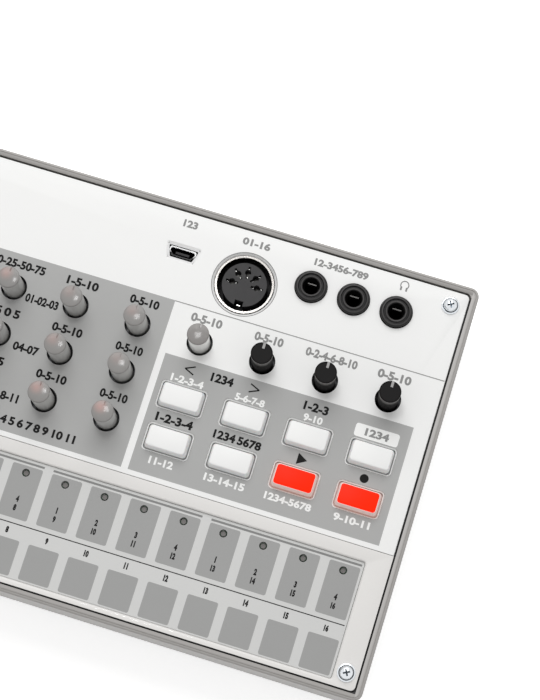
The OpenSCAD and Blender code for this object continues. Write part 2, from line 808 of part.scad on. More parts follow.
module din_housing() {
    color("#1e1e20") translate([din_x, din_y, 0]) difference() {
        union() {
            translate([-din_base_w / 2, -din_base_w / 2, board_top])
                cube([din_base_w, din_base_w, din_base_t]);
            translate([0, 0, board_top]) cylinder(h = din_top - board_top, d = din_insert_d);
        }
        plate(din_top - pin_depth, total_h) for (n = [0 : 4])
            rotate(pin_angle(n)) translate([din_pins_r, 0]) circle(d = 1.7);
        plate(din_top - 1.5, total_h) for (n = [0 : 4])
            rotate(pin_angle(n)) translate([din_pins_r - 1.7, -0.3]) square([3.4, 0.6]);
        span([-1.2, -din_insert_d, din_top - pin_depth], [1.2, 1.5 - din_insert_d / 2, total_h]);
    }
}

module din_shield() {
    color("#c9c6c0") translate([din_x, din_y, 0]) difference() {
        translate([0, 0, board_top + din_base_t])
            cylinder(h = panel_top - 0.3 - board_top - din_base_t, d = din_ring_d);
        cylinder(h = total_h, d = din_open_d);
    }
}

module usb_shell() {
    color("#c4c4c4") translate([usb_x, usb_y, 0]) difference() {
        plate(board_top, panel_top - 0.2) usb_outline(0);
        plate(board_top + 3, total_h) usb_outline(-usb_wall);
    }
}

module usb_tongue() {
    color("#202022") translate([usb_x, usb_y, 0])
        span([-1.9, -0.35, board_top + 3], [1.9, 0.25, panel_top - 1.2]);
}

module dc_inlet() {
    back = inner_d / 2 - 0.1;
    color("#1e1c1c") translate([dc_x, 0, dc_z]) difference() {
        union() {
            span([-dc_w / 2, back - dc_l, -dc_h / 2], [dc_w / 2, back, dc_h / 2]);
            translate([0, case_d / 2 - 0.4, 0]) rotate([90, 0, 0]) cylinder(h = wall + 2, d = dc_nose_d);
        }
        translate([0, case_d / 2, 0]) rotate([90, 0, 0]) cylinder(h = dc_depth, d = dc_bore_d);
    }
}

// Springs in the jacks, sleeves in the round socket and the inlet's centre pin
module socket_contacts() {
    color("#d8c9a0") {
        for (n = [0 : 2]) translate([jack_x(n), jack_y, 0])
            span([-leaf_w / 2, leaf_y, leaf_z], [leaf_w / 2, leaf_y + 0.3, leaf_z + leaf_l]);
        translate([din_x, din_y, din_top - pin_depth]) for (n = [0 : 4])
            rotate(pin_angle(n)) translate([din_pins_r, 0, 0]) cylinder(h = 2.5, d = 1.5);
        translate([dc_x, case_d / 2 - dc_depth, dc_z]) rotate([-90, 0, 0])
            cylinder(h = dc_depth - 2, d = dc_pin_d);
    }
}

// ---- Speaker ----

module speaker_frame() {
    color("#3c3c40") translate([speaker_x, speaker_y, floor_top]) {
        rotate_extrude() polygon([
            [speaker_d / 2 - speaker_rim, 0], [speaker_d / 2, 0], [speaker_d / 2, 1],
            [speaker_d / 2 - speaker_rim + 0.8, 1], [basket_d / 2, 7], [0, 7], [0, 6],
            [basket_d / 2 - 0.6, 6], [speaker_d / 2 - speaker_rim, 0.8]]);
    }
}

module speaker_cone() {
    r = speaker_d / 2 - speaker_rim;
    color("#222224") translate([speaker_x, speaker_y, floor_top]) rotate_extrude() polygon([
        [0, 2.6], [3.2, 2.2], [4.2, 4], [r - 2.2, 0.4], [r, 0.3], [r, 0.7], [r - 1.8, 0.8],
        [4.6, 4.8], [3.6, 4.8], [2.8, 2.7], [0, 3]]);
}

module speaker_magnet() {
    color("#8d9096") translate([speaker_x, speaker_y, basket_top])
        cylinder(h = 5, d = magnet_d);
}

// ---- Cells, contacts and leads ----

// Row n counts from the back; the cells of the middle row point the other way
module in_row(n) {
    translate([0, row_y(n), cell_z]) rotate(n == 1 ? 180 : 0)
        translate([plate_t - bay_l / 2, 0, 0]) rotate([0, 90, 0]) children();
}

module cells() {
    color("#3d6fb0") for (n = [0 : 2], i = [0, 1]) in_row(n)
        translate([0, 0, spring_l + i * cell_l]) {
            cylinder(h = cell_l - nub_h, d = cell_d);
            cylinder(h = cell_l - contact_gap, d = nub_d);
        }
}

module contact_springs() {
    color("#c9cbd0") for (n = [0 : 2]) in_row(n)
        coil(nub_d / 2 + 1.8, nub_d / 2 + 0.2, spring_l, 4, coil_wire);
}

// Single plates at the ends of the string of cells, long ones where it turns round
module contact_plates() {
    color("#c9cbd0") {
        for (side = [-1, 1]) {
            single = side < 0 ? 0 : 2;
            pair = side < 0 ? 1.5 : 0.5;
            x = side * (bay_l / 2 - plate_t / 2);
            translate([x, row_y(single), cell_z]) cube([plate_t, 11, 11], center = true);
            translate([x, row_y(pair), cell_z]) cube([plate_t, 11 + cell_pitch, 11], center = true);
        }
    }
}

// Routes: from the string's two ends round the bay, and from the speaker's frame
lead_z = cell_z + 3;
lead_x = bay_out + 2.5;
lead_y = cover_back_y + 4;
plug_z = board_under - lead_socket_h / 2;
terminal = basket_d / 2 - 0.2;
lead_pair = 3;
module inner_leads() {
    for (side = [-1, 1]) color(side < 0 ? "#b02a22" : "#222224") {
        start_y = row_y(side < 0 ? 0 : 2);
        reach = power_socket.x + side * 4;
        wire([
            [side * bay_l / 2, start_y, lead_z], [side * lead_x, start_y, lead_z],
            [side * lead_x, lead_y, lead_z], [reach + side * 6, lead_y, lead_z],
            [reach + side * 3, power_socket.y, plug_z], [reach, power_socket.y, plug_z]], wire_d);
    }
    for (side = [-1, 1]) color(side < 0 ? "#b02a22" : "#222224") {
        off = side * lead_pair / 2;
        y = speaker_y + off;
        plug_y = speaker_socket.y + off;
        wire([
            [speaker_x + terminal, y, basket_top], [speaker_x + terminal, y, basket_top + 2],
            [speaker_x + speaker_d / 2 + off, y - 4, basket_top + 3],
            [speaker_socket.x - 7 + off, plug_y, plug_z],
            [speaker_socket.x - 4, plug_y, plug_z]], wire_d);
    }
}

// ---- Screws ----

module panel_screws() {
    color("#c8c8cc") for (p = CORNER_POSTS) translate([p.x, p.y, panel_top]) {
        screw_head(screw_head_d, screw_head_h);
        translate([0, 0, -12]) cylinder(h = 12 + eps, d = screw_d);
    }
}

module small_screws() {
    color("#b9bcc2") {
        for (p = BOARD_POSTS) translate([p.x, p.y, board_top]) {
            screw_head(board_head_d, board_head_h);
            translate([0, 0, -8]) cylinder(h = 8 + eps, d = screw_d);
        }
        for (p = TINY_SCREWS) translate([p.x, p.y, touch_board_under]) mirror([0, 0, 1]) {
            screw_head(tiny_head_d, tiny_head_h);
            translate([0, 0, -board_t - tiny_depth]) cylinder(h = board_t + tiny_depth + eps, d = tiny_d);
        }
    }
}

// ---- Knobs and buttons ----

// One-piece knob and shaft at a column and row, with a pointer groove towards the back
module knob(column, row, tint) {
    r = knob_d / 2;
    color(tint) translate([knob_x(column), knob_y(row), 0]) {
        difference() {
            rotate_extrude() {
                polygon([
                    [0, skirt_z], [knob_base_d / 2, skirt_z], [knob_base_d / 2, panel_top],
                    [r, panel_top + knob_h * 0.45], [r, total_h - knob_edge_r],
                    [r - knob_edge_r, total_h], [0, total_h]]);
                translate([r - knob_edge_r, total_h - knob_edge_r]) circle(knob_edge_r);
            }
            translate([-0.25, r - 1.7, total_h - 0.3]) cube([0.5, 3, 1]);
        }
        translate([0, 0, shaft_z]) cylinder(h = skirt_z - shaft_z + eps, d = shaft_d);
    }
}

module clear_knob(column, row) { knob(column, row, "#9d9893"); }
module dark_knob(column, row) { knob(column, row, "#232121"); }

module tempo_knob() { clear_knob(3, 0); }
module swing_knob() { dark_knob(2, 0); }
module room_knob() { dark_knob(1, 0); }
module volume_knob() { dark_knob(0, 0); }
module bass_knob() { dark_knob(9, 2); }
module treble_knob() { dark_knob(8, 2); }
module start_knob() { clear_knob(6, 0); }
module length_knob() { clear_knob(5, 0); }
module cut_knob() { clear_knob(4, 0); }
module speed_knob() { clear_knob(7, 1); }
module pitch_amount_knob() { clear_knob(6, 1); }
module pitch_attack_knob() { clear_knob(5, 1); }
module pitch_decay_knob() { clear_knob(4, 1); }
module level_knob() { clear_knob(7, 2); }
module pan_knob() { clear_knob(6, 2); }
module amp_attack_knob() { clear_knob(5, 2); }
module amp_decay_knob() { clear_knob(4, 2); }

// Side view of a button cap: straight foot, then sloping sides
module cap_side(w) {
    top = panel_top + button_rise;
    polygon([
        [-w / 2, flange_z], [w / 2, flange_z], [w / 2, panel_top + cap_foot],
        [w / 2 - button_draft, top], [button_draft - w / 2, top], [-w / 2, panel_top + cap_foot]]);
}

// Cap with its retaining flange and the stem that enters the switch
module button(column, row, tint) {
    color(tint) translate([knob_x(column), button_y(row), 0]) {
        intersection() {
            rotate([90, 0, 0]) translate([0, 0, -cap_d]) linear_extrude(2 * cap_d) cap_side(cap_w);
            rotate([90, 0, 90]) translate([0, 0, -cap_w]) linear_extrude(2 * cap_w) cap_side(cap_d);
        }
        plate(flange_z, flange_z + flange_t)
            round_rect(cutout_w + 2 * flange_w, cutout_d + 2 * flange_w, 1);
        translate([0, 0, stem_z]) cylinder(h = flange_z - stem_z + eps, d = stem_d);
    }
}

module previous_button() { button(3, 0, "#e9e9e7"); }
module next_button() { button(2, 0, "#e9e9e7"); }
module mute_button() { button(1, 0, "#e9e9e7"); }
module shift_button() { button(0, 0, "#e9e9e7"); }
module memory_button() { button(3, 1, "#e9e9e7"); }
module mode_button() { button(2, 1, "#e9e9e7"); }
module play_button() { button(1, 1, "#ff3a1c"); }
module record_button() { button(0, 1, "#ff3a1c"); }

module power_button() {
    color("#dcdad6") translate([power_x, power_y, 0]) {
        translate([0, 0, flange_z]) cylinder(h = panel_top + power_rise - flange_z, d = power_d);
        translate([0, 0, flange_z]) cylinder(h = flange_t, d = power_d + 2 * button_gap + 2 * flange_w);
        translate([0, 0, stem_z]) cylinder(h = flange_z - stem_z + eps, d = stem_d);
    }
}

bottom_case();
top_panel();
key_frame();
touch_surface();
touch_board();
step_lights();
main_board();
chips();
capacitors();
potentiometers();
tact_switches();
board_lights();
ribbon_cable();
board_sockets();
jack_sockets();
socket_contacts();
din_housing();
din_shield();
usb_shell();
usb_tongue();
dc_inlet();
digit_module();
display_window();
speaker_frame();
speaker_cone();
speaker_magnet();
battery_cover();
cells();
contact_springs();
contact_plates();
inner_leads();
panel_screws();
small_screws();
rubber_feet();
tempo_knob();
swing_knob();
room_knob();
volume_knob();
bass_knob();
treble_knob();
start_knob();
length_knob();
cut_knob();
speed_knob();
pitch_amount_knob();
pitch_attack_knob();
pitch_decay_knob();
level_knob();
pan_knob();
amp_attack_knob();
amp_decay_knob();
previous_button();
next_button();
mute_button();
shift_button();
memory_button();
mode_button();
play_button();
record_button();
power_button();
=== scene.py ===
# %% [markdown]
# # Dressing a small drum machine
# The solids of the machine are loaded first and never change. Everything after this cell
# adds what the eye sees on top of them: softened edges, printed marks, knobs, lit buttons,
# finishes, lamps and a camera. All sizes below are millimetres, turned into metres by MM.

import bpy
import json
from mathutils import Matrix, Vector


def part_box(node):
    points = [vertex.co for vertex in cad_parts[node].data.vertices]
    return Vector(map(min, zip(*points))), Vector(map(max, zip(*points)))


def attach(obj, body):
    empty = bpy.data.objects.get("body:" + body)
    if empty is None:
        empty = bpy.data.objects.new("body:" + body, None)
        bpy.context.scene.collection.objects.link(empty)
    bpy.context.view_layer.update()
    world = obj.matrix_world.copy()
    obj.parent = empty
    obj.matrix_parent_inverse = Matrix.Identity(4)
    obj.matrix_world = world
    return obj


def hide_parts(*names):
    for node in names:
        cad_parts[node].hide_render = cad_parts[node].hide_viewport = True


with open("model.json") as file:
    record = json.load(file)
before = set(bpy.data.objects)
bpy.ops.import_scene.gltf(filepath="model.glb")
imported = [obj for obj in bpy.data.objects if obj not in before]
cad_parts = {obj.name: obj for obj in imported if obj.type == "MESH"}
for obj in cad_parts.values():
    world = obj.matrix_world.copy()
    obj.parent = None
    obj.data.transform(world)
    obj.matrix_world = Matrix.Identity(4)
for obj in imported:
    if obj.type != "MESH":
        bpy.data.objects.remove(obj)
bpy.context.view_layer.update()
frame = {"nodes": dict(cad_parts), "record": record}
nodes = frame["nodes"]

# %% [markdown]
# ## Camera
# The camera looks down from a hand above the front right corner, so the sockets, the right
# knobs and the lit buttons fill the picture. A long lens keeps the panel's lines nearly
# parallel. The turn is given in ZYX order because that is how the angles were worked out.

# %% Camera
import json
import math

import bmesh
import bpy
from mathutils import Vector

MM = 0.001
CAMERA_PLACE = (0.0802188, -0.0758842, 0.528576)
CAMERA_TURN = (11.5446, 3.8019, 16.7299)


def deselect():
    bpy.ops.object.select_all(action="DESELECT")


deselect()
bpy.ops.object.camera_add(location=CAMERA_PLACE)
camera = bpy.context.object
camera.name = "portrait_camera"
camera.rotation_mode = "ZYX"
camera.rotation_euler = [math.radians(angle) for angle in CAMERA_TURN]
camera.data.lens = 96.592
camera.data.sensor_width = 36
camera.data.dof.use_dof = False
bpy.context.scene.camera = camera
bpy.context.scene.view_settings.view_transform = "Standard"
print("camera:", tuple(camera.location), "lens:", camera.data.lens)

# %% [markdown]
# ## Sizes read from the solids
# A dressed piece has to sit exactly where its solid is. Asking the frame for each solid's
# box saves copying numbers by hand: the knobs, buttons and sockets all tell their own place.

# %% Places and heights
def top_of(node):
    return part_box(node)[1].z / MM


def foot_of(node):
    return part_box(node)[0].z / MM


def centre(node):
    low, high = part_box(node)
    return (low.x + high.x) / 2 / MM, (low.y + high.y) / 2 / MM


def box_of(node):
    return [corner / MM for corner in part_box(node)]


PANEL_TOP = top_of("top_panel")
TOUCH_TOP = top_of("touch_surface")
KNOB_TOP = top_of("tempo_knob")
CLEAR_KNOBS = ["tempo", "start", "length", "cut", "speed", "pitch_amount", "pitch_attack",
               "pitch_decay", "level", "pan", "amp_attack", "amp_decay"]
DARK_KNOBS = ["swing", "room", "volume", "bass", "treble"]
WHITE_BUTTONS = ["previous", "next", "mute", "shift", "memory", "mode"]
RED_BUTTONS = ["play", "record"]
knob_place = {name: centre(name + "_knob") for name in CLEAR_KNOBS + DARK_KNOBS}
button_place = {name: centre(name + "_button") for name in WHITE_BUTTONS + RED_BUTTONS}
print("panel top:", round(PANEL_TOP, 2), "knobs:", len(knob_place), "buttons:", len(button_place))

# %% [markdown]
# ## Picking things in code
# By hand one clicks a face; in code one describes it. These helpers go in and out of edit
# mode and choose faces or edges by a test on their place or direction. Everything is
# deselected first, because an operator works on all that is selected.

# %% Selection helpers
def pick(*objects):
    if bpy.context.object and bpy.context.object.mode != "OBJECT":
        bpy.ops.object.mode_set(mode="OBJECT")
    deselect()
    for obj in objects:
        obj.select_set(True)
    bpy.context.view_layer.objects.active = objects[0]
    return objects[0]


def edit(obj, mode="FACE", action="DESELECT"):
    """Enters edit mode with nothing selected, or with everything."""
    pick(obj)
    bpy.ops.object.mode_set(mode="EDIT")
    bpy.ops.mesh.select_mode(type=mode)
    bpy.ops.mesh.select_all(action=action)


def select_by(obj, elements, test):
    mesh = bmesh.from_edit_mesh(obj.data)
    for element in getattr(mesh, elements):
        element.select_set(bool(test(element)))
    mesh.select_flush_mode()
    bmesh.update_edit_mesh(obj.data)


def select_faces(obj, test):
    select_by(obj, "faces", lambda face: test(face.calc_center_median() / MM, face.normal))


def settle(obj, name=None):
    """Leaves edit mode and puts the piece's place into its mesh."""
    pick(obj)
    bpy.ops.object.transform_apply(location=True, rotation=True, scale=True)
    if name:
        obj.name = obj.data.name = name
    return obj


def close(obj):
    """Turns all normals outwards and leaves edit mode."""
    bpy.ops.mesh.select_all(action="SELECT")
    bpy.ops.mesh.normals_make_consistent(inside=False)
    bpy.ops.object.mode_set(mode="OBJECT")
    return obj


print("helpers ready in", bpy.context.mode)

# %% [markdown]
# ## Two ways to start a piece
# Nearly everything on a panel is either turned, like a knob, or cut from a plate with round
# corners, like a button cap. `turned` raises a disc step by step and resizes it at each
# step, as a lathe would; `pad` rounds the corners of a plane and raises it.

# %% Turned pieces and rounded pads
def raise_by(height):
    bpy.ops.mesh.extrude_region_move(TRANSFORM_OT_translate={"value": (0, 0, height * MM)})


def resize_about(x, y, z, across, deep=None):
    deep = across if deep is None else deep
    bpy.ops.transform.resize(value=(across, deep, 1), center_override=(x * MM, y * MM, z * MM))


def turned(name, profile, place=(0, 0), sides=48):
    (radius, height), *steps = profile
    x, y = place
    deselect()
    bpy.ops.mesh.primitive_circle_add(vertices=sides, radius=radius * MM, fill_type="NGON",
                                      location=(x * MM, y * MM, height * MM))
    obj = settle(bpy.context.object, name)
    edit(obj, action="SELECT")
    for next_radius, next_height in steps:
        raise_by(next_height - height)
        if next_radius != radius:
            resize_about(x, y, next_height, next_radius / radius)
        radius, height = next_radius, next_height
    return close(obj)


def rod(radius, low, high, place=(0, 0), sides=48):
    return turned("rod", [(radius, low), (radius, high)], place, sides)


def pad(name, width, depth, radius, low, high, place=(0, 0), segments=6):
    deselect()
    bpy.ops.mesh.primitive_plane_add(size=1, location=(place[0] * MM, place[1] * MM, low * MM))
    obj = bpy.context.object
    obj.scale = (width * MM, depth * MM, 1)
    settle(obj, name)
    edit(obj, "VERT", "SELECT")
    if radius:
        bpy.ops.mesh.bevel(offset=radius * MM, segments=segments, affect="VERTICES")
    bpy.ops.mesh.select_mode(type="FACE")
    bpy.ops.mesh.select_all(action="SELECT")
    raise_by(high - low)
    return close(obj)


def bar(name, x0, x1, y0, y1, low, high, radius=0):
    return pad(name, x1 - x0, y1 - y0, radius, low, high, ((x0 + x1) / 2, (y0 + y1) / 2), 3)


print("two ways to start a piece are ready")

# %% [markdown]
# ## Shaping what was started
# Three more steps come back again and again: the foot of a plug is inset to make it slope,
# the edges of a top are bevelled, and a plane slices a piece and closes the cut.

# %% Sloping feet, round tops and slices
def inset_foot(plug, *steps):
    """Insets the faces that look down; each step is a thickness and a depth."""
    edit(plug)
    select_faces(plug, lambda middle, normal: normal.z < -0.9)
    for thickness, depth in steps:
        bpy.ops.mesh.inset(thickness=thickness * MM, depth=depth * MM)


def round_top(obj, top, offset, segments):
    edit(obj, "EDGE")
    select_by(obj, "edges", lambda edge: min(v.co.z / MM for v in edge.verts) > top - 0.01)
    bpy.ops.mesh.bevel(offset=offset * MM, segments=segments)
    return close(obj)


def slice_off(obj, x, y, direction):
    """Removes what lies beyond an upright plane through x and y."""
    edit(obj, action="SELECT")
    bpy.ops.mesh.bisect(plane_co=(x * MM, y * MM, 0), plane_no=(*direction, 0),
                        clear_outer=True, use_fill=True)
    return close(obj)


print("three shaping steps are ready")

# %% [markdown]
# ## Cutting, copying and handing over
# A boolean modifier cuts one piece with another and is applied at once. `hand_over` makes smooth
# shading stop at real corners, says which body of the machine a piece rides on, and hides the solids
# it stands for.

# %% Booleans, copies and hand-over
def cut(obj, cutter, operation="DIFFERENCE", keep=False):
    pick(obj)
    bpy.ops.object.modifier_add(type="BOOLEAN")
    boolean = obj.modifiers[-1]
    boolean.operation = operation
    boolean.solver = "EXACT"
    boolean.object = cutter
    bpy.ops.object.modifier_apply(modifier=boolean.name)
    if not keep:
        bpy.data.objects.remove(cutter)
    return obj


def join(name, pieces):
    pick(*pieces)
    if len(pieces) > 1:
        bpy.ops.object.join()
    bpy.context.object.name = bpy.context.object.data.name = name
    return bpy.context.object


def copy_piece(obj, name, dx=0, dy=0):
    copy = bpy.data.objects.new(name, obj.data.copy())
    bpy.context.scene.collection.objects.link(copy)
    copy.location = (dx * MM, dy * MM, 0)
    return settle(copy, name)


def spread_out(pattern, places):
    """Copies a pattern to each place and removes the pattern itself."""
    copies = [copy_piece(pattern, pattern.name + "_copy", *place) for place in places]
    bpy.data.objects.remove(pattern)
    return copies


def copy_of_solid(node, name):
    copy = copy_piece(nodes[node], name)
    for key in list(copy.keys()):
        del copy[key]
    edit(copy, action="SELECT")
    bpy.ops.mesh.customdata_custom_splitnormals_clear()
    bpy.ops.mesh.remove_doubles(threshold=0.001 * MM)
    bpy.ops.object.mode_set(mode="OBJECT")
    return copy


def hand_over(obj, body, slot, *replaced, angle=30):
    pick(obj)
    bpy.ops.object.shade_smooth_by_angle(angle=math.radians(angle))
    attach(obj, body)
    if replaced:
        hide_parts(*replaced)
    print(f"{obj.name}: {len(obj.data.polygons)} faces on {body}")
    return obj


print("booleans ready")

# %% [markdown]
# ## Control panel
# The real panel is one white moulding. Its outer edge and the cut-outs of the buttons have
# a fine slanting edge that catches the light, so the copy of the solid is cut with flared
# plugs, which are wider at the top, and then kept inside a plate with a softened rim.

# %% Flared plugs for the cut-outs
CUTOUT = (12.2, 7.1)
CUTOUT_R = 0.9
FLARE = 0.42
PLUG_SINK = 0.5


def flared_plug(place):
    """A plug that is as wide as the cut-out just under the surface and flares above it."""
    plug = pad("plug", CUTOUT[0] + 2 * FLARE, CUTOUT[1] + 2 * FLARE, CUTOUT_R + FLARE,
               PANEL_TOP, PANEL_TOP + 1, place)
    inset_foot(plug, (FLARE + PLUG_SINK, FLARE + PLUG_SINK))
    return close(plug)


button_plugs = join("button_plugs", [flared_plug(place) for place in button_place.values()])
print("plugs:", len(button_plugs.data.polygons), "faces for", len(button_place), "cut-outs")

# %% Plug in the outline of the data socket
usb_x, usb_y = centre("usb_shell")
usb_low, usb_high = box_of("usb_shell")
USB_MARGIN = 0.75
USB_CORNER = 0.6
RECESS = 0.24


def socket_plug(name, grow, low, high):
    """A plate with the socket's outline, grown on all sides: two of its corners slant."""
    w, d = (usb_high.x - usb_low.x) / 2 + grow, (usb_high.y - usb_low.y) / 2 + grow
    taper = 0.8 * (d - grow)
    slant = Vector((2 * d - taper, -taper, 0)).normalized()
    plug = pad(name, 2 * w, 2 * d, USB_CORNER, low, high, (usb_x, usb_y), 4)
    for side in (1, -1):
        slice_off(plug, usb_x + side * w, usb_y + d - taper, (side * slant.x, slant.y))
    return plug


def sloping_plug(name, grow, top, slope, deep):
    """The same plug with walls that slope inwards from the height top over the depth deep."""
    plug = socket_plug(name, grow, top, PANEL_TOP + 1)
    inset_foot(plug, (slope, deep))
    raise_by(-1)
    return close(plug)


print("data socket:", round(usb_high.x - usb_low.x, 2), "by", round(usb_high.y - usb_low.y, 2))

# %% Panel with fine slanting edges
RIM_R = 1.3
RIM_BEVEL = 0.22
FRONT_SPARE = 3
panel = copy_of_solid("top_panel", "control_panel")
low, high = box_of("top_panel")
cut(panel, button_plugs, keep=True)
rim_plate = pad("rim_plate", high.x - low.x, high.y - low.y + FRONT_SPARE, RIM_R, low.z - 1,
                PANEL_TOP, (0, (low.y + high.y - FRONT_SPARE) / 2))
cut(panel, round_top(rim_plate, PANEL_TOP, RIM_BEVEL, 2), "INTERSECT")
cut(panel, sloping_plug("recess", USB_MARGIN + 0.45, PANEL_TOP + 0.01, 0.43, RECESS))
hand_over(panel, "chassis", "panel_white", "top_panel", angle=25)
bezel = socket_plug("socket_bezel", USB_MARGIN, PANEL_TOP - RECESS - 0.3, PANEL_TOP - RECESS)
cut(bezel, sloping_plug("slope", USB_MARGIN - 0.03, PANEL_TOP - RECESS + 0.01, 0.44, 0.2))
hand_over(bezel, "chassis", "panel_white", angle=25)

# %% [markdown]
# ## Printed zones and lines
# The grey fields, the white strip between them and the thin line over the right-hand group
# are silk-screen prints a few hundredths of a millimetre thick. They are modelled as thin
# pads that reach a little into the panel, with the same holes cut through them, so no
# picture is needed and the print stays sharp in any close-up.

# %% Grey fields with the panel's holes
PRINT = 0.02
MARK = 0.04
MARK_SINK = 0.1
KNOB_HOLE_R = 3.55
FIELD_FRONT = -16.95
knob_plugs = join("knob_plugs", [rod(KNOB_HOLE_R, PANEL_TOP - 1, PANEL_TOP + 1, place)
                                 for place in knob_place.values()])
fields = join("printed_fields", [
    bar("field", x0, x1, FIELD_FRONT, y1, PANEL_TOP - MARK_SINK, PANEL_TOP + PRINT)
    for x0, x1, y1 in ((-51, 18.2, 30.6), (20.1, 89.6, 16.0))])
cut(fields, knob_plugs)
cut(fields, button_plugs)
hand_over(fields, "chassis", "panel_white")

# %% [markdown]
# ## Printed marks
# Labels start as text objects in Blender's own font, made bolder by an offset. Once a label
# is a mesh its box is known, so it is fitted to the height and narrow width of panel
# lettering and pressed flat. All marks of one colour are joined into one piece. Only plain
# numbers and the common signs for back, forward, start and record are used.

# %% Text and sign helpers
FIGURE = 2.45
SMALL_FIGURE = 2.1
NARROW = 0.66


def label(text, x, y, width=None, height=FIGURE, surface=PANEL_TOP, bold=0.042):
    deselect()
    bpy.ops.object.text_add()
    letters = bpy.context.object.data
    letters.body = text
    letters.resolution_u = 3
    letters.offset = bold
    letters.space_word = 0.7
    letters.extrude = 0.5
    bpy.ops.object.convert(target="MESH")
    obj = bpy.context.object
    xs, ys = zip(*(vert.co.xy for vert in obj.data.vertices))
    tall = height / (max(ys) - min(ys))
    wide = width / (max(xs) - min(xs)) if width else NARROW * tall
    obj.scale = (wide * MM, tall * MM, 2 * MARK * MM)
    obj.location = ((x - wide * (max(xs) + min(xs)) / 2) * MM,
                    (y - tall * (max(ys) + min(ys)) / 2) * MM, surface * MM)
    return settle(obj)


def turn_and_place(obj, turn, x, y):
    obj.rotation_euler.z = math.radians(turn)
    obj.location = (x * MM, y * MM, 0)
    return settle(obj)


def disc(x, y, radius, sides=24, turn=0):
    blank_disc = rod(radius, PANEL_TOP - MARK_SINK, PANEL_TOP + MARK, sides=sides)
    return turn_and_place(blank_disc, turn, x, y)


def mark_bar(x0, x1, y0, y1, surface=PANEL_TOP, radius=0):
    return bar("bar", x0, x1, y0, y1, surface - MARK_SINK, surface + MARK, radius)


def chevron(x, y, way):
    """Two thin strokes that meet in a point; way is 1 for forward and -1 for back."""
    return join("chevron", [
        turn_and_place(mark_bar(-1.45, 1.45, -0.19, 0.19), -24 * way * side, x, y + 0.56 * side)
        for side in (1, -1)])


def ring(x, y, outer, inner, surface=PANEL_TOP, sides=64):
    made = rod(outer, surface - MARK_SINK, surface + MARK, (x, y), sides)
    return cut(made, rod(inner, surface - 1, surface + 1, (x, y), sides))


print("figures are", FIGURE, "and", SMALL_FIGURE, "mm high")

# %% Dark marks on the grey fields
RIGHT_COLUMN, COLUMN_PITCH = 80.85, 17.6
C = [RIGHT_COLUMN - COLUMN_PITCH * n for n in range(4)]  # button columns, right to left
OVER_KNOB = 6.4
SCALE_WIDTH = {"start": 13.7, "length": 8.9, "cut": 8.2, "speed": 8.2, "pitch_amount": 8.2,
               "pitch_attack": 8.5, "pitch_decay": 7.6, "level": 8.2, "pan": 8.2,
               "amp_attack": 8.5, "amp_decay": 7.7, "tempo": 8.7, "swing": 8.0, "room": 14.4,
               "volume": 9.3, "bass": 8.4, "treble": 8.4}
OTHER_SCALES = {"start": "0-25-50-75", "length": "1-5-10", "room": "0-2-4-6-8-10",
                **dict.fromkeys(("pitch_amount", "pan", "bass", "treble"), "-5 0 5")}
ON_WHITE = ["tempo"] + DARK_KNOBS
DARK_TEXT = (("01-02-03", -16.2, 19.6, 9.3), ("04-07", -16.2, 6.0, 7.2),
             ("8-11", -16.2, -7.8, 5.0), ("1 2 3 4 5 6 7 8 9 10 11", -9.4, -13.8, 27.4),
             ("1-2-3", C[1], 13.4, 6.8), ("1234", (C[2] + C[3]) / 2 + 0.1, 13.4, 6.2),
             ("1-2-3-4", C[3], -1.05, 10.3),
             ("1234 5678", C[2], -1.05, 13.2))


def scale_label(name):
    x, y = knob_place[name]
    return label(OTHER_SCALES.get(name, "0-5-10"), x, y + OVER_KNOB, SCALE_WIDTH[name])


dark = [scale_label(name) for name in SCALE_WIDTH if name not in ON_WHITE]
dark += [label(*row) for row in DARK_TEXT]
dark += [chevron(C[3] - 0.3, 13.5, -1), chevron(C[2] + 0.3, 13.5, 1),
         disc(C[1], -1.0, 1.8, sides=3, turn=30), disc(C[0], -1.0, 1.2)]
print("dark marks:", len(dark))

# %% Grey marks on the white panel and white marks on the grey fields
DIN_RING_R = 8.82
RULE_Y = 30.5
din_x, din_y = centre("din_shield")
GREY_TEXT = (("123", 15.8, 52.1, 4.0), ("01-16", 34.6, 52.1, 7.8),
             ("12-3456-789", 58.7, 52.1, 15.1))
WHITE_TEXT = (("1-2-3-4", C[3], 10.3, 9.1), ("5-6-7-8", C[2], 10.3, 8.2),
              ("9-10", C[1], 10.3, 5.3), ("11-12", C[3], -12.8, 6.7), ("13-14-15", C[2], -12.8, 11.2),
              ("1234-5678", C[1], -12.8, 12.9), ("9-10-11", C[0], -12.8, 10.0))
grey = [scale_label(name) for name in ON_WHITE] + [label(*row, SMALL_FIGURE) for row in GREY_TEXT]
# The thin grey ring round the five-pin socket is a painted shade line at the edge of its bevel.
grey += [mark_bar(18.2, 93.9, RULE_Y - 0.12, RULE_Y + 0.12),
         ring(din_x, din_y, DIN_RING_R + 0.2, DIN_RING_R)]
white = [label(*row, SMALL_FIGURE) for row in WHITE_TEXT]
white.append(mark_bar(74.7, 86.8, 9.4, 13.0, radius=0.7))
shift_label = label("1234", C[0], 11.2, 6.6, SMALL_FIGURE, PANEL_TOP + MARK)
print("grey marks:", len(grey), "white marks:", len(white))

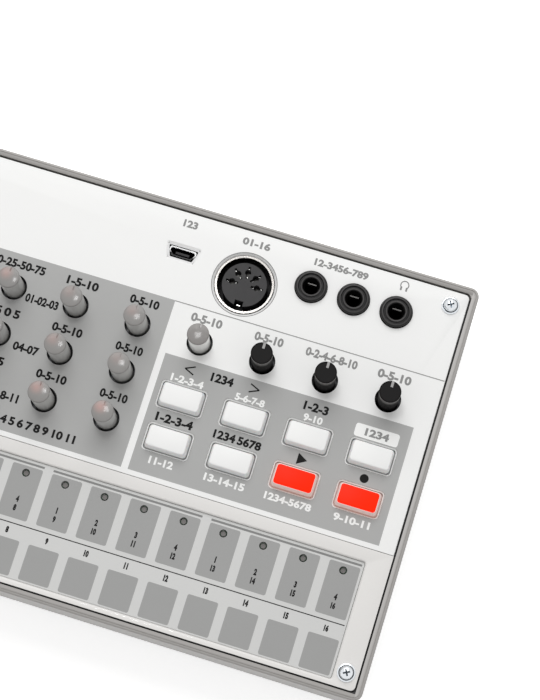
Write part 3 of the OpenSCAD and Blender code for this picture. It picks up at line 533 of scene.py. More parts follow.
# %% Headphone sign over the last socket
SIGN_X, SIGN_Y, HOOP_FOOT = 76.35, 52.85, 52.1
deselect()
bpy.ops.mesh.primitive_torus_add(major_radius=1.1 * MM, minor_radius=0.14 * MM,
                                 major_segments=32, minor_segments=8,
                                 location=(SIGN_X * MM, SIGN_Y * MM, PANEL_TOP * MM))
hoop = settle(bpy.context.object, "hoop")
edit(hoop, action="SELECT")
bpy.ops.mesh.bisect(plane_co=(0, HOOP_FOOT * MM, 0), plane_no=(0, 1, 0), clear_inner=True,
                    use_fill=True)
close(hoop)
ear_pads = [mark_bar(x - 0.25, x + 0.25, SIGN_Y - 1.65, SIGN_Y - 0.55, radius=0.15)
            for x in (SIGN_X - 0.75, SIGN_X + 0.75)]
grey += [hoop] + ear_pads
print("headphone sign:", sum(len(piece.data.polygons) for piece in [hoop] + ear_pads), "faces")

# %% [markdown]
# ## Touch strip
# Sixteen keys are printed on one flat film, each a grey field round a small light hole. One
# field is cut by one plug and copied along the row. Numbers, a thin rule and the bars that
# tie four keys together follow the same pitch.

# %% Key fields, copied sixteen times
HOLE_Y = -25.8
HOLE_R = 0.9
KEY_PITCH = 11
KEY_STEPS = [(n * KEY_PITCH, 0) for n in range(16)]


def key_x(n):
    return (n - 7.5) * KEY_PITCH


def key_field(y0, y1):
    return bar("key", key_x(0) - 4.1, key_x(0) + 4.3, y0, y1, TOUCH_TOP - 0.05, TOUCH_TOP + PRINT,
               0.5)


first_key = cut(key_field(-38.2, -23.95), rod(HOLE_R, 30, 36, (key_x(0), HOLE_Y)))
both_fields = join("both_fields", [first_key, key_field(-53.1, -43.6)])
key_fields = join("key_fields", spread_out(both_fields, KEY_STEPS))
hand_over(key_fields, "chassis", "touch_print")

# %% Numbers, rule and group bars on the film
KEY_FIGURE = 1.75
KEY_BOLD = 0.062
strip = [mark_bar(-87, 87, -39.62, -39.38, TOUCH_TOP)]
for n in range(16):
    for number, y in ((n % 4 + 1, -33.0), (n + 1, -35.4), (n + 1, -41.5)):
        strip.append(label(str(number), key_x(n) + 0.1, y, None, KEY_FIGURE, TOUCH_TOP, KEY_BOLD))
# A thin dark ring round each light hole is painted shade at the hole's edge.
strip += spread_out(ring(key_x(0), HOLE_Y, HOLE_R + 0.16, HOLE_R, TOUCH_TOP, 24), KEY_STEPS)
strip_grey = [mark_bar(key_x(4 * n) - 4.1, key_x(4 * n + 3) + 4.4, -23.45, -22.9, TOUCH_TOP)
              for n in range(4)]
print("strip marks:", len(strip), "bars:", len(strip_grey))

# %% Join the marks by colour
for name, pieces, slot in (("dark_marks", dark, "panel_white"),
                           ("grey_marks", grey + [shift_label], "panel_white"),
                           ("white_marks", white, "panel_white"),
                           ("strip_marks", strip, "touch_print"),
                           ("strip_bars", strip_grey, "touch_print")):
    hand_over(join(name, pieces), "chassis", slot)

# %% [markdown]
# ## Key frame
# The pearl frame round the touch film has a softly rounded edge at its window. Bevelling a
# copy of the solid directly would fight with its many loose triangles, so it is cut with a
# plug whose foot is inset in four steps, which leave a rounded edge behind.

# %% Key frame with a soft window edge
WINDOW = (2 * 87.55, 31.55)
WINDOW_Y = (-53.65 - 22.1) / 2
SOFT_EDGE = ((0.22, 0.05), (0.18, 0.14), (0.11, 0.22), (0.5, 0.5))
key_frame = copy_of_solid("key_frame", "pearl_frame")
window_plug = pad("window_plug", WINDOW[0] + 1.1, WINDOW[1] + 1.1, 1.1, PANEL_TOP, PANEL_TOP + 1,
                  (0, WINDOW_Y))
inset_foot(window_plug, *SOFT_EDGE)
cut(key_frame, close(window_plug))
hand_over(key_frame, "chassis", "frame_pearl", "key_frame", angle=40)

# %% [markdown]
# ## Knobs
# All seventeen knobs share one turned form: a shaft, a skirt in the panel's hole, a body
# that widens a hair upwards and a short pointer groove. The clear ones are cast in frosted resin
# with a slightly domed top; the dark ones are crisp, ribbed for grip, and carry a white
# line. Each kind is modelled once at the middle of the scene and then copied.

# %% Clear knob
SKIRT_Z = top_of("potentiometers") + 0.4
SHAFT_Z = foot_of("tempo_knob")
KNOB_R = 2.95
EDGE_R = 0.34
skirt = [(1.5, SHAFT_Z), (1.5, SKIRT_Z), (2.86, SKIRT_Z), (2.86, PANEL_TOP)]
rounding = [(KNOB_R - EDGE_R * (1 - math.cos(math.radians(a))),
             KNOB_TOP - 0.5 + EDGE_R * math.sin(math.radians(a))) for a in (0, 22, 45, 68, 86)]
dome = [(2.1, KNOB_TOP - 0.09), (1.4, KNOB_TOP - 0.035), (0.7, KNOB_TOP - 0.008), (0.1, KNOB_TOP)]
body = [(2.84, 38.0), (2.86, 42.5), (2.92, 44.8)]
clear_knob = turned("clear_knob", skirt + body + rounding + dome)
cut(clear_knob, pad("groove", 0.42, 1.9, 0.15, KNOB_TOP - 0.4, KNOB_TOP + 1, (0, 2.5)))
print("clear knob:", len(clear_knob.data.polygons), "faces")

# %% Dark knob with ribs and a white line
RIB_STEP = 3.75
RIB_DEPTH = 0.968
LINE_FOOT = KNOB_TOP - 0.3
crisp = [(2.86, 38.0), (2.92, 43.5), (KNOB_R, KNOB_TOP - 0.32), (2.9, KNOB_TOP - 0.12),
         (2.76, KNOB_TOP), (2.62, KNOB_TOP), (2.55, KNOB_TOP - 0.07), (0.1, KNOB_TOP - 0.07)]
dark_knob = turned("dark_knob", skirt + crisp, sides=96)


def in_a_groove(vert):
    """Every second column of points on the side of the knob."""
    around = round(math.degrees(math.atan2(vert.co.y, vert.co.x)) / RIB_STEP)
    side = 35.5 < vert.co.z / MM < KNOB_TOP - 0.2 and vert.co.xy.length > 2.8 * MM
    return side and around % 2 == 0


edit(dark_knob, "VERT")
select_by(dark_knob, "verts", in_a_groove)
resize_about(0, 0, 40, RIB_DEPTH)
close(dark_knob)
cut(dark_knob, pad("slot_plug", 0.74, 2.2, 0.1, LINE_FOOT, KNOB_TOP + 1, (0, 2.3)))
pointer = pad("pointer", 0.68, 1.68, 0.1, LINE_FOOT, KNOB_TOP - 0.02, (0, 2.08))
print("dark knob:", len(dark_knob.data.polygons), "faces")

# %% [markdown]
# ## Button caps
# A cap is a flange that keeps it in the panel, a straight foot, a drafted top and a stem that presses
# the switch. Its top face gets a finish of its own: on the red caps it glows from a lamp under it,
# and on the white caps it is painted brighter than the slanting sides, as painted light.

# %% Button cap
CAP = (11.5, 6.4)
CAP_TOP = top_of("mute_button")
DRAFT = 0.8
DRAFT_Z = 35.4
FLANGE = 0.8
FLANGE_Z = 31.8
cap = pad("cap", CAP[0] + 1.7, CAP[1] + 1.7, 1.8, FLANGE_Z, FLANGE_Z + FLANGE)
edit(cap)
select_faces(cap, lambda middle, normal: normal.z > 0.9)
bpy.ops.mesh.inset(thickness=0.85 * MM, depth=0)
raise_by(DRAFT_Z - FLANGE_Z - FLANGE)
raise_by(CAP_TOP - DRAFT_Z)
resize_about(0, 0, CAP_TOP, (CAP[0] - DRAFT) / CAP[0], (CAP[1] - DRAFT) / CAP[1])
round_top(cap, CAP_TOP, 0.28, 3)
cut(cap, rod(1.7, foot_of("mute_button"), FLANGE_Z + 0.3, sides=32), "UNION")
print("cap:", len(cap.data.polygons), "faces")

# %% [markdown]
# ## Sockets
# The round five-pin socket and the flat data socket come from their solids; they only lack
# the bright contact tips one sees down in the pin holes. The collar of a jack is turned
# with a rounded outer edge, and its throat is one plug that leaves a raised inner ring and
# a groove round it.

# %% Jack collars with an inner ring
COLLAR_FOOT = 33.4
JACK_PITCH = 12
jacks = copy_of_solid("jack_sockets", "jack_collars")
low, high = box_of("jack_sockets")
jack_x, jack_y = centre("jack_sockets")
jack_places = [(jack_x + step, jack_y) for step in (-JACK_PITCH, 0, JACK_PITCH)]
cut(jacks, bar("lid", low.x - 1, high.x + 1, low.y - 1, high.y + 1, COLLAR_FOOT, high.z + 1))
collar = turned("collar", [(4.33, COLLAR_FOOT), (4.33, 35.4), (4.26, 35.75), (4.08, 35.98),
                           (3.8, 36.1), (0.4, 36.1)], sides=64)
throat = turned("throat", [(1.8, 30), (1.8, 33.9), (2.2, 34.2), (2.24, 35.3), (2.34, 35.7),
                           (2.52, 35.94), (2.72, 36.0), (2.94, 35.88), (3.06, 35.6),
                           (3.3, 35.6), (3.4, 35.9), (3.56, 36.12), (3.56, 37)], sides=64)
cut(collar, throat)
jacks = join("jack_collars", [jacks] + spread_out(collar, jack_places))
hand_over(jacks, "chassis", "socket_black", "jack_sockets", angle=35)

# %% Tips in the five-pin socket and springs of the jacks
hand_over(join("jack_springs", [
    bar("spring", x - 1.25, x + 1.25, y + 0.95, y + 1.25, 30.5, 33.4, 0.1)
    for x, y in jack_places]), "chassis", "contact_tin")
tips = [turn_and_place(pad("tip", 0.22, 0.2, 0.08, 32.2, 33.2, place, 2), 45 * n, din_x, din_y)
        for n in range(5) for place in ((2.4, -0.1), (4.7, 0.1))]
tips.append(bar("tip", din_x - 0.5, din_x + 0.5, din_y - 5.85, din_y - 5.6, 31.0, 33.0, 0.1))
hand_over(join("contact_tips", tips), "chassis", "contact_tin")

# %% [markdown]
# ## Panel screws
# The four screws are small domes on a flange, with a fine groove between them and a cross
# for the driver. The profile dips at the groove, which a turned piece can do as well.

# %% Screw heads
SCREW_PLACES = [(side * x, y) for side in (1, -1) for x, y in ((89.7, 51), (90.85, -51))]
SCREW_TURN = 28
DOME = (1.84, 35.45)
screw_profile = [(1.25, foot_of("panel_screws")), (1.25, PANEL_TOP), (2.38, PANEL_TOP),
                 (2.45, 34.9), (2.43, 35.08), (2.3, 35.2), (2.06, 35.24), (2.0, 34.98),
                 (1.86, 34.98), DOME]
screw_profile += [(DOME[0] * math.cos(angle), DOME[1] + 1.25 * math.sin(angle))
                  for angle in map(math.radians, (15, 30, 45, 60, 75))] + [(0.1, 36.7)]
screw = turned("screw", screw_profile, sides=64)
for w, d in ((0.95, 0.22), (0.22, 0.95)):
    cut(screw, bar("cross", -w, w, -d, d, 35.7, 38))
turn_and_place(screw, SCREW_TURN, 0, 0)
heads = join("screw_heads", spread_out(screw, SCREW_PLACES))
hand_over(heads, "chassis", "bright_steel", "panel_screws", angle=35)

# %% [markdown]
# ## Display
# Under the tinted window sits a module with four seven-segment figures. One segment shape
# is a small rounded pad; seven of them make an eight, and each figure uses some of them.

# %% Four glowing figures
SEGMENTS = {"0": "abcdef", "1": "bc", "2": "abged"}
DIGIT_W, DIGIT_H = 3.9, 7.0
DIGIT_PITCH = 6.8
STROKE = 0.75
module_x, module_y = centre("digit_module")
module_z = top_of("digit_module")
SPOTS = {"a": (0, 1, 0), "g": (0, 0, 0), "d": (0, -1, 0), "f": (-1, 0.5, 1), "b": (1, 0.5, 1),
         "e": (-1, -0.5, 1), "c": (1, -0.5, 1)}


def segment(letter, x, y):
    across, up, upright = SPOTS[letter]
    length = (DIGIT_H / 2 if upright else DIGIT_W) - 0.9
    size = (STROKE, length) if upright else (length, STROKE)
    return pad("segment", *size, 0.3, module_z - 0.05, module_z + 0.06,
               (x + across * DIGIT_W / 2, y + up * DIGIT_H / 2), 2)


lit = [segment(letter, module_x + DIGIT_PITCH * (column - 1.5), module_y)
       for column, figure in enumerate("1200") for letter in SEGMENTS[figure]]
lit.append(rod(0.5, module_z - 0.05, module_z + 0.06,
               (module_x + DIGIT_PITCH, module_y - DIGIT_H / 2), 16))
hand_over(join("lit_figures", lit), "chassis", "display_black")

# %% [markdown]
# ## Effects that several finishes share
# A real surface is never one flat value. Five small node groups carry what repeats: a slow
# drift of tone, the fine grain of moulded plastic, brushed lines on metal, dust that
# settles on what faces up, and fine parallel lines. They only put out colours, masks and
# heights, so each material still owns its shader.

# %% Node helpers
def feed(tree, socket, value):
    """Links the value if it is another node's socket, and sets it if it is a number."""
    if isinstance(value, bpy.types.NodeSocket):
        tree.links.new(value, socket)
    else:
        socket.default_value = value


def node(tree, kind, settings=None, **inputs):
    """Adds a node; each keyword feeds the socket of that name."""
    made = tree.nodes.new("ShaderNode" + kind)
    for key, value in (settings or {}).items():
        setattr(made, key, value)
    for key, value in inputs.items():
        wanted = key.replace("_", " ")
        feed(tree, next(s for s in made.inputs if s.name == wanted and s.enabled), value)
    return made


def calc(tree, operation, *values):
    made = node(tree, "Math", {"operation": operation})
    for socket, value in zip(made.inputs, values):
        feed(tree, socket, value)
    return made.outputs[0]


def chain(tree, value, *steps):
    """Runs a value through several sums, one after the other."""
    for operation, other in steps:
        value = calc(tree, operation, value, other)
    return value


def scaled(tree, vector, factor):
    made = node(tree, "VectorMath", {"operation": "SCALE"}, Vector=vector, Scale=factor)
    return made.outputs[0]


print("node helpers ready")

# %% Places, noise and mixes
def spot(tree):
    return node(tree, "TexCoord").outputs["Object"]


def spot_xyz(tree):
    return node(tree, "SeparateXYZ", Vector=spot(tree)).outputs


def ramp(tree, value, low, high, top=1.0):
    return node(tree, "MapRange", Value=value, From_Min=low, From_Max=high, To_Max=top).outputs[0]


def noise(tree, scale, detail, vector=None):
    return node(tree, "TexNoise", Vector=vector or spot(tree), Scale=scale,
                Detail=detail).outputs["Fac"]


def wander(tree, value, amount, middle):
    """Turns noise between 0 and 1 into a value that wanders about the middle."""
    return chain(tree, value, ("SUBTRACT", 0.5), ("MULTIPLY", amount), ("ADD", middle))


def mix(tree, factor, first, second, blend="MIX"):
    made = node(tree, "Mix", {"data_type": "RGBA", "blend_type": blend}, Factor=factor)
    feed(tree, made.inputs[6], first)
    feed(tree, made.inputs[7], second)
    return made.outputs[2]


print("places, noise and mixes ready")

# %% Group builder
def add_sockets(tree, side, names):
    kinds = {"Color": "NodeSocketColor"}
    return [tree.interface.new_socket(name, in_out=side,
                                      socket_type=kinds.get(name, "NodeSocketFloat"))
            for name in names]


def new_group(name, **given):
    """A group with its inputs; each keyword is an input and its first value."""
    tree = bpy.data.node_groups.new(name, "ShaderNodeTree")
    for socket, value in zip(add_sockets(tree, "INPUT", given), given.values()):
        socket.default_value = value
    return tree, tree.nodes.new("NodeGroupInput").outputs


def put_out(tree, **results):
    """Adds the group's outputs and links a result to each."""
    add_sockets(tree, "OUTPUT", results)
    outputs = tree.nodes.new("NodeGroupOutput").inputs
    for socket, result in results.items():
        feed(tree, outputs[socket], result)
    print("group:", tree.name, "gives", list(results))


print("group builder ready")

# %% Tone drift and moulded grain
tree, given = new_group("tone_drift", Color=(0.8, 0.8, 0.8, 1), Scale=60, Amount=0.05)
twice = calc(tree, "MULTIPLY", given["Amount"], 2)
swing = wander(tree, noise(tree, given["Scale"], 3), twice, 1)
put_out(tree, Color=scaled(tree, given["Color"], swing))

tree, given = new_group("moulded_grain", Scale=3000, Roughness=0.5, Spread=0.08)
rough = wander(tree, noise(tree, 90, 3), given["Spread"], given["Roughness"])
put_out(tree, Height=noise(tree, given["Scale"], 2), Roughness=rough)

# %% Brushed lines and parallel lines
tree, given = new_group("brushed_lines", Scale=900, Stretch=0.02)
stretch = node(tree, "CombineXYZ", X=given["Stretch"], Y=1.0, Z=1.0)
drawn_out = node(tree, "VectorMath", {"operation": "MULTIPLY"}, Vector=spot(tree))
feed(tree, drawn_out.inputs[1], stretch.outputs[0])
lines = noise(tree, given["Scale"], 4, drawn_out.outputs[0])
put_out(tree, Height=lines, Mask=ramp(tree, lines, 0.35, 0.65))

tree, given = new_group("parallel_lines", Along=0, Scale=5000, Amount=0.1)
lines = noise(tree, given["Scale"], 2, node(tree, "CombineXYZ", X=given["Along"]).outputs[0])
put_out(tree, Tone=wander(tree, lines, calc(tree, "MULTIPLY", given["Amount"], 4), 1))

# %% Settled dust
tree, given = new_group("settled_dust", Scale=500, Amount=0.1)
facing = node(tree, "SeparateXYZ", Vector=node(tree, "NewGeometry").outputs["Normal"])
put_out(tree, Mask=chain(tree, ramp(tree, facing.outputs["Z"], 0.3, 1.0),
                         ("MULTIPLY", noise(tree, given["Scale"], 5)),
                         ("MULTIPLY", given["Amount"])))

# %% [markdown]
# ## Finishes
# Every slot of the record gets one material. `finish` sets what most of them share: a base
# colour that drifts a little, grain in the roughness and bump, and a trace of dust. Values
# that are the same all over, such as metallic or coat, go straight on the shader.

# %% Material builder
STREAK = (0.72, 0.72, 0.72)
DUST = (0.5, 0.48, 0.45)
finishes = {}


def use_group(tree, name, **inputs):
    return node(tree, "Group", {"node_tree": bpy.data.node_groups[name]}, **inputs).outputs


def blank(name):
    """A new finish with a bare shader; gives back its node tree."""
    finishes[name] = bpy.data.materials.new(name)
    finishes[name].use_nodes = True
    return finishes[name].node_tree


def drive(tree, **values):
    """Feeds the sockets of the shader itself."""
    for socket, value in values.items():
        feed(tree, tree.nodes["Principled BSDF"].inputs[socket.replace("_", " ")], value)


def base_of(tree):
    return tree.nodes["Principled BSDF"].inputs["Base Color"].links[0].from_socket


def surface(tree, colour, rough, drift, drift_scale, grain, spread):
    """A drifting colour and a wandering roughness; gives back the height of the grain."""
    tone = use_group(tree, "tone_drift", Color=colour, Scale=drift_scale, Amount=drift)
    grains = use_group(tree, "moulded_grain", Scale=grain, Roughness=rough, Spread=spread)
    drive(tree, Base_Color=tone["Color"], Roughness=grains["Roughness"])
    return grains["Height"]


def relief(tree, strength, height):
    bump = node(tree, "Bump", Strength=strength, Distance=0.05 * MM, Height=height)
    drive(tree, Normal=bump.outputs[0])


print("material builder ready")

# %% One finish and its changes
def repaint(tree, mask, colour, blend="MIX"):
    """Mixes another colour into a finish where the mask is 1."""
    drive(tree, Base_Color=mix(tree, mask, base_of(tree), (*colour, 1), blend))


def retone(tree, along, scale, amount):
    """Lays fine parallel lines over a finish, along a value that the caller works out."""
    tone = use_group(tree, "parallel_lines", Along=along, Scale=scale, Amount=amount)["Tone"]
    drive(tree, Base_Color=scaled(tree, base_of(tree), tone))


def finish(name, colour, rough, drift=0.05, drift_scale=60, grain=3000, bump=0.05, spread=0.08,
           dust=0.0, lines=0.0, **shader):
    tree = blank(name)
    height = surface(tree, (*colour, 1), rough, drift, drift_scale, grain, spread)
    if lines:
        brushed = use_group(tree, "brushed_lines")
        height = brushed["Height"]
        repaint(tree, calc(tree, "MULTIPLY", brushed["Mask"], lines), STREAK, "MULTIPLY")
    if dust:
        repaint(tree, use_group(tree, "settled_dust", Scale=700, Amount=dust)["Mask"], DUST)
    relief(tree, bump, height)
    drive(tree, **shader)
    return tree


print("finishes can be made and changed")

# %% Plain finishes: a colour, a roughness and what else sets each apart
PLAIN = {
    "case_grey": ((0.365, 0.35, 0.335), 0.42, dict(drift=0.03, grain=2500, bump=0.12, dust=0.05)),
    "panel_white": ((0.86, 0.86, 0.85), 0.5, dict(drift=0.012, bump=0.06)),
    "frame_pearl": ((0.75, 0.735, 0.715), 0.4, dict(
        drift=0.02, grain=2500, bump=0.08, Coat_Weight=0.1)),
    "touch_print": ((0.61, 0.61, 0.60), 0.45, dict(drift=0.02)),
    "light_body": ((0.17, 0.16, 0.155), 0.3, dict(Specular_IOR_Level=0.3)),
    "chip_black": ((0.025, 0.025, 0.027), 0.55, dict(grain=5000, bump=0.3, dust=0.1)),
    "capacitor_sleeve": ((0.04, 0.05, 0.09), 0.3, dict(dust=0.08)),
    # Darkened as painted shade down in the knob holes.
    "pot_steel": ((0.10, 0.102, 0.105), 0.45, dict(lines=0.5, Metallic=1.0)),
    "switch_black": ((0.03, 0.03, 0.03), 0.5, dict(dust=0.1)),
    "ribbon": ((0.7, 0.66, 0.55), 0.5, dict(lines=0.6)),
    "connector_ivory": ((0.8, 0.78, 0.7), 0.5, dict(dust=0.08)),
    "socket_black": ((0.036, 0.035, 0.036), 0.45, dict(
        drift=0.18, drift_scale=400, spread=0.1, Specular_IOR_Level=0.2)),
    "contact_tin": ((0.62, 0.62, 0.6), 0.3, dict(lines=0.3, Metallic=1.0)),
    "bright_steel": ((0.60, 0.62, 0.64), 0.16, dict(
        drift=0.06, drift_scale=900, bump=0.02, spread=0.06, Metallic=1.0)),
    "display_black": ((0.012, 0.012, 0.012), 0.4, dict(Specular_IOR_Level=0.2)),
    "paper_cone": ((0.022, 0.022, 0.022), 0.85, dict(grain=1500, bump=0.4)),
    "magnet": ((0.16, 0.16, 0.17), 0.6, dict(grain=2500, bump=0.3, dust=0.1)),
    "lead_sleeve": ((0.32, 0.03, 0.025), 0.4, {}),
    "foot_rubber": ((0.022, 0.022, 0.023), 0.8, dict(grain=4000, bump=0.35, dust=0.15)),
    "dark_knob": ((0.006, 0.0055, 0.0055), 0.6, dict(
        drift=0.1, grain=4000, bump=0.06, spread=0.1, Specular_IOR_Level=0.04)),
    # The faint emission of the white caps is painted light on their sides, and their brighter face
    # finish is a painted highlight.
    "button_white": ((0.73, 0.735, 0.73), 0.42, dict(
        drift=0.01, bump=0.03, Subsurface_Weight=0.1, Subsurface_Scale=0.001,
        Emission_Strength=0.1, Emission_Color=(1, 1, 1, 1))),
    "button_white_face": ((0.86, 0.86, 0.85), 0.4, dict(drift=0.01, bump=0.03)),
    "pointer_white": ((0.33, 0.325, 0.32), 0.5, {}),
    # Steel darkened as painted shade, for the springs and contacts down in their sockets.
    "dim_spring": ((0.10, 0.098, 0.095), 0.4, dict(Metallic=1.0)),
    "knob_top_black": ((0.008, 0.0075, 0.0075), 0.5, dict(
        drift=0.15, grain=4000, bump=0.06, Specular_IOR_Level=0.1)),
    "jack_black": ((0.007, 0.0065, 0.0065), 0.4, dict(
        drift=0.15, drift_scale=500, bump=0.04, Specular_IOR_Level=0.25)),
    "deep_shade": ((0.0035, 0.0035, 0.0035), 0.9, dict(
        drift=0.3, drift_scale=300, bump=0.02, Specular_IOR_Level=0.02)),
    "screw_steel": ((0.76, 0.79, 0.82), 0.14, dict(
        drift=0.08, drift_scale=900, bump=0.02, spread=0.06, Metallic=1.0)),
}
for name, (colour, rough, more) in PLAIN.items():
    finish(name, colour, rough, **more)
print("plain finishes:", len(finishes))

# %% [markdown]
# ## Finishes that change with the place
# The case is drawn along its edges, so fine lines run parallel to them. Its inside and the inner half
# of its rear rim carry painted shade, and the inner edge of its side rims a painted highlight. The
# metal of the sockets is bright only on its rim and carries painted shade below it, the dark knobs
# carry a painted sheen just under their top, the raised rings of the jack collars carry painted
# highlights and the grooves of the screws painted shade. Each of these is a mask worked out from
# where a point lies on the object.

# %% Case lines, painted shade and a painted highlight
def below(tree, value, limit):
    return calc(tree, "LESS_THAN", value, limit * MM)


def above(tree, value, limit):
    return calc(tree, "GREATER_THAN", value, limit * MM)


RIM_FROM, RIM_TO, WALL = -0.7, -1.8, -1.86  # from the outer face, negative inwards
RIM_REAR, SHADE_REAR, SHADE_FOOT = 55.4, 54.5, 21
case_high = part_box("bottom_case")[1]
tree = finishes["case_grey"].node_tree
x, y, z = spot_xyz(tree)
beside = calc(tree, "SUBTRACT", calc(tree, "ABSOLUTE", x), case_high.x)
behind = calc(tree, "SUBTRACT", calc(tree, "ABSOLUTE", y), case_high.y)
edge = calc(tree, "MAXIMUM", beside, behind)
retone(tree, edge, scale=5200, amount=0.16)
inward = ramp(tree, edge, RIM_FROM * MM, RIM_TO * MM)
# Painted shade on the inner half of the rear rim.
repaint(tree, calc(tree, "MULTIPLY", inward, above(tree, y, RIM_REAR)), (0.22, 0.21, 0.2))
# Painted highlight on the inner edge of the side rims.
painted_highlight = chain(tree, inward, ("MULTIPLY", above(tree, beside, WALL + 0.01)), ("MULTIPLY", 0.8))
repaint(tree, painted_highlight, (0.52, 0.505, 0.49))
# Painted shade on the inside of the case.
inside = chain(tree, below(tree, edge, WALL), ("MULTIPLY", above(tree, z, SHADE_FOOT)),
               ("MULTIPLY", below(tree, y, SHADE_REAR)))
repaint(tree, inside, (0.008, 0.0075, 0.007))
print("case half sizes:", case_high.x, case_high.y)

# %% Bright rims of the sockets with painted shade below them, and shade in the panel's gaps
GAP_SHADE = PANEL_TOP - 0.87
SHIELD_TOP = top_of("din_shield")
SHIELD_R = 8.0


def rim_only(name, colour, rim_z):
    """A steel that is bright only above rim_z, with painted shade below it."""
    tree = finish(name, colour, 0.2, drift=0.08, drift_scale=800, lines=0.3, Metallic=1.0)
    repaint(tree, below(tree, spot_xyz(tree)[2], rim_z), (0.012, 0.012, 0.012))
    return tree


tree = rim_only("shield_steel", (0.25, 0.24, 0.23), SHIELD_TOP - 0.1)
from_axis = node(tree, "VectorMath", {"operation": "DISTANCE"}, Vector=spot(tree))
feed(tree, from_axis.inputs[1], (din_x * MM, din_y * MM, SHIELD_TOP * MM))
# Painted shade on the shield beyond SHIELD_R from the middle of its top.
repaint(tree, above(tree, from_axis.outputs["Value"], SHIELD_R), (0.12, 0.115, 0.11))
tree = rim_only("shell_steel", (0.28, 0.28, 0.28), top_of("usb_shell") - 0.06)
# Painted shade on the front half of the data socket's shell.
repaint(tree, below(tree, spot_xyz(tree)[1], usb_y - 0.4), (0.02, 0.02, 0.02))
for name, colour in (("panel_white", (0.2, 0.198, 0.195)), ("button_white", (0.3, 0.3, 0.3))):
    tree = finishes[name].node_tree
    repaint(tree, below(tree, spot_xyz(tree)[2], GAP_SHADE), colour)
print("shaded below:", round(GAP_SHADE, 2))

# %% Painted sheen of the dark knobs, painted highlights on the jack collars and painted shade on the screws
def written(tree, name):
    """A value that is written into the mesh as an attribute."""
    return node(tree, "Attribute", {"attribute_name": name}).outputs["Fac"]


tree = finishes["dark_knob"].node_tree
z = spot_xyz(tree)[2]
# Painted sheen just under the top of the dark knobs.
painted_sheen = ramp(tree, z, (KNOB_TOP - 4.2) * MM, (KNOB_TOP - 0.6) * MM)
painted_sheen = calc(tree, "MULTIPLY", painted_sheen, below(tree, z, KNOB_TOP - 0.35))
repaint(tree, painted_sheen, (0.22, 0.217, 0.213))
# Painted highlights on the raised rings of the jack collars and painted shade in the grooves and
# crosses of the screws, as much as the written attribute says.
for name, colour in (("jack_black", (0.085, 0.082, 0.081)), ("screw_steel", (0.05, 0.06, 0.07))):
    tree = finishes[name].node_tree
    repaint(tree, written(tree, "crest"), colour)
print("placed finishes ready")

# %% [markdown]
# ## Finishes with a story of their own
# A circuit board shows its traces through green lacquer. A cell has a coloured sleeve and bare steel
# ends, told apart by where they are along the cell. The window is red-tinted acrylic, the figures
# glow behind it, and the clear knobs are frosted resin with a painted glow towards their top, a
# painted reflection of the grey field in those that stand on it and a darker top as painted shade, in
# which a small red lamp shows near the pointer of some of them.

# %% Board, cells and window
tree = blank("circuit_board")
traces = node(tree, "TexBrick", {"offset": 0.37, "squash": 0.7}, Vector=spot(tree), Scale=260,
              Color1=(0.02, 0.13, 0.05, 1), Color2=(0.025, 0.16, 0.06, 1),
              Mortar=(0.05, 0.24, 0.09, 1), Mortar_Size=0.05)
surface(tree, traces.outputs["Color"], rough=0.35, drift=0.1, drift_scale=40, grain=2500,
        spread=0.15)
relief(tree, 0.3, traces.outputs["Fac"])

CELL_MIDDLE, CELL_PITCH, SLEEVE = 2.2, 50.5, 12.5
tree = blank("cell_sleeve")
along = chain(tree, spot_xyz(tree)[0], ("SUBTRACT", CELL_MIDDLE * MM), ("ABSOLUTE", 0),
              ("MODULO", CELL_PITCH * MM))
sleeve = mix(tree, ramp(tree, along, SLEEVE * MM, (SLEEVE + 0.2) * MM), (0.75, 0.6, 0.25, 1),
             (0.03, 0.1, 0.3, 1))
surface(tree, sleeve, rough=0.28, drift=0.05, drift_scale=80, grain=2000, spread=0.1)

tree = blank("red_window")
surface(tree, (0.55, 0.02, 0.02, 1), rough=0.06, drift=0.04, drift_scale=50, grain=1500,
        spread=0.04)
drive(tree, Transmission_Weight=1.0)
print("finishes so far:", len(finishes))

# %% Frosted resin with a lamp inside
FIELD_REFLECTION = (0.30, 0.295, 0.285)
LAMP_RED = (0.9, 0.22, 0.14, 1)
GLOW_FROM, GLOW_TO = 36, 42


def frosted(name, colour, glow):
    """Resin with a painted glow that grows towards its top, as much as glow says, and may hold a
    lamp.
    """
    tree = finish(name, colour, 0.5, drift=0.07, drift_scale=500, grain=2500, bump=0.1,
                  spread=0.12, Transmission_Weight=0.2, IOR=1.49, Coat_Weight=0.35,
                  Coat_Roughness=0.11, Emission_Strength=1.0)
    z = spot_xyz(tree)[2]
    retone(tree, z, scale=1300, amount=0.07)
    shade = written(tree, "shade")
    # Painted glow that grows towards the top, less on the knobs on the grey field.
    painted_glow = calc(tree, "MULTIPLY", ramp(tree, z, GLOW_FROM * MM, GLOW_TO * MM, glow),
                    calc(tree, "SUBTRACT", 1, shade))
    # Painted reflection of the grey field, as much as the shade attribute says.
    repaint(tree, calc(tree, "MULTIPLY", shade, 0.75), FIELD_REFLECTION)
    light = scaled(tree, (1, 0.99, 0.97), painted_glow)
    drive(tree, Emission_Color=mix(tree, written(tree, "lamp"), light, LAMP_RED))


frosted("clear_knob", (0.62, 0.62, 0.60), glow=0.17)
# The darker resin of the knob tops is painted shade.
frosted("resin_top", (0.26, 0.245, 0.235), glow=0.0)
print("finishes so far:", len(finishes))

# %% Lit red caps and glowing figures
def glowing(name, colour, light, strength, **shader):
    tree = finish(name, colour, 0.35, drift=0.02, Emission_Strength=strength, **shader)
    tone = use_group(tree, "tone_drift", Color=(*light, 1), Scale=150, Amount=0.03)
    drive(tree, Emission_Color=tone["Color"])


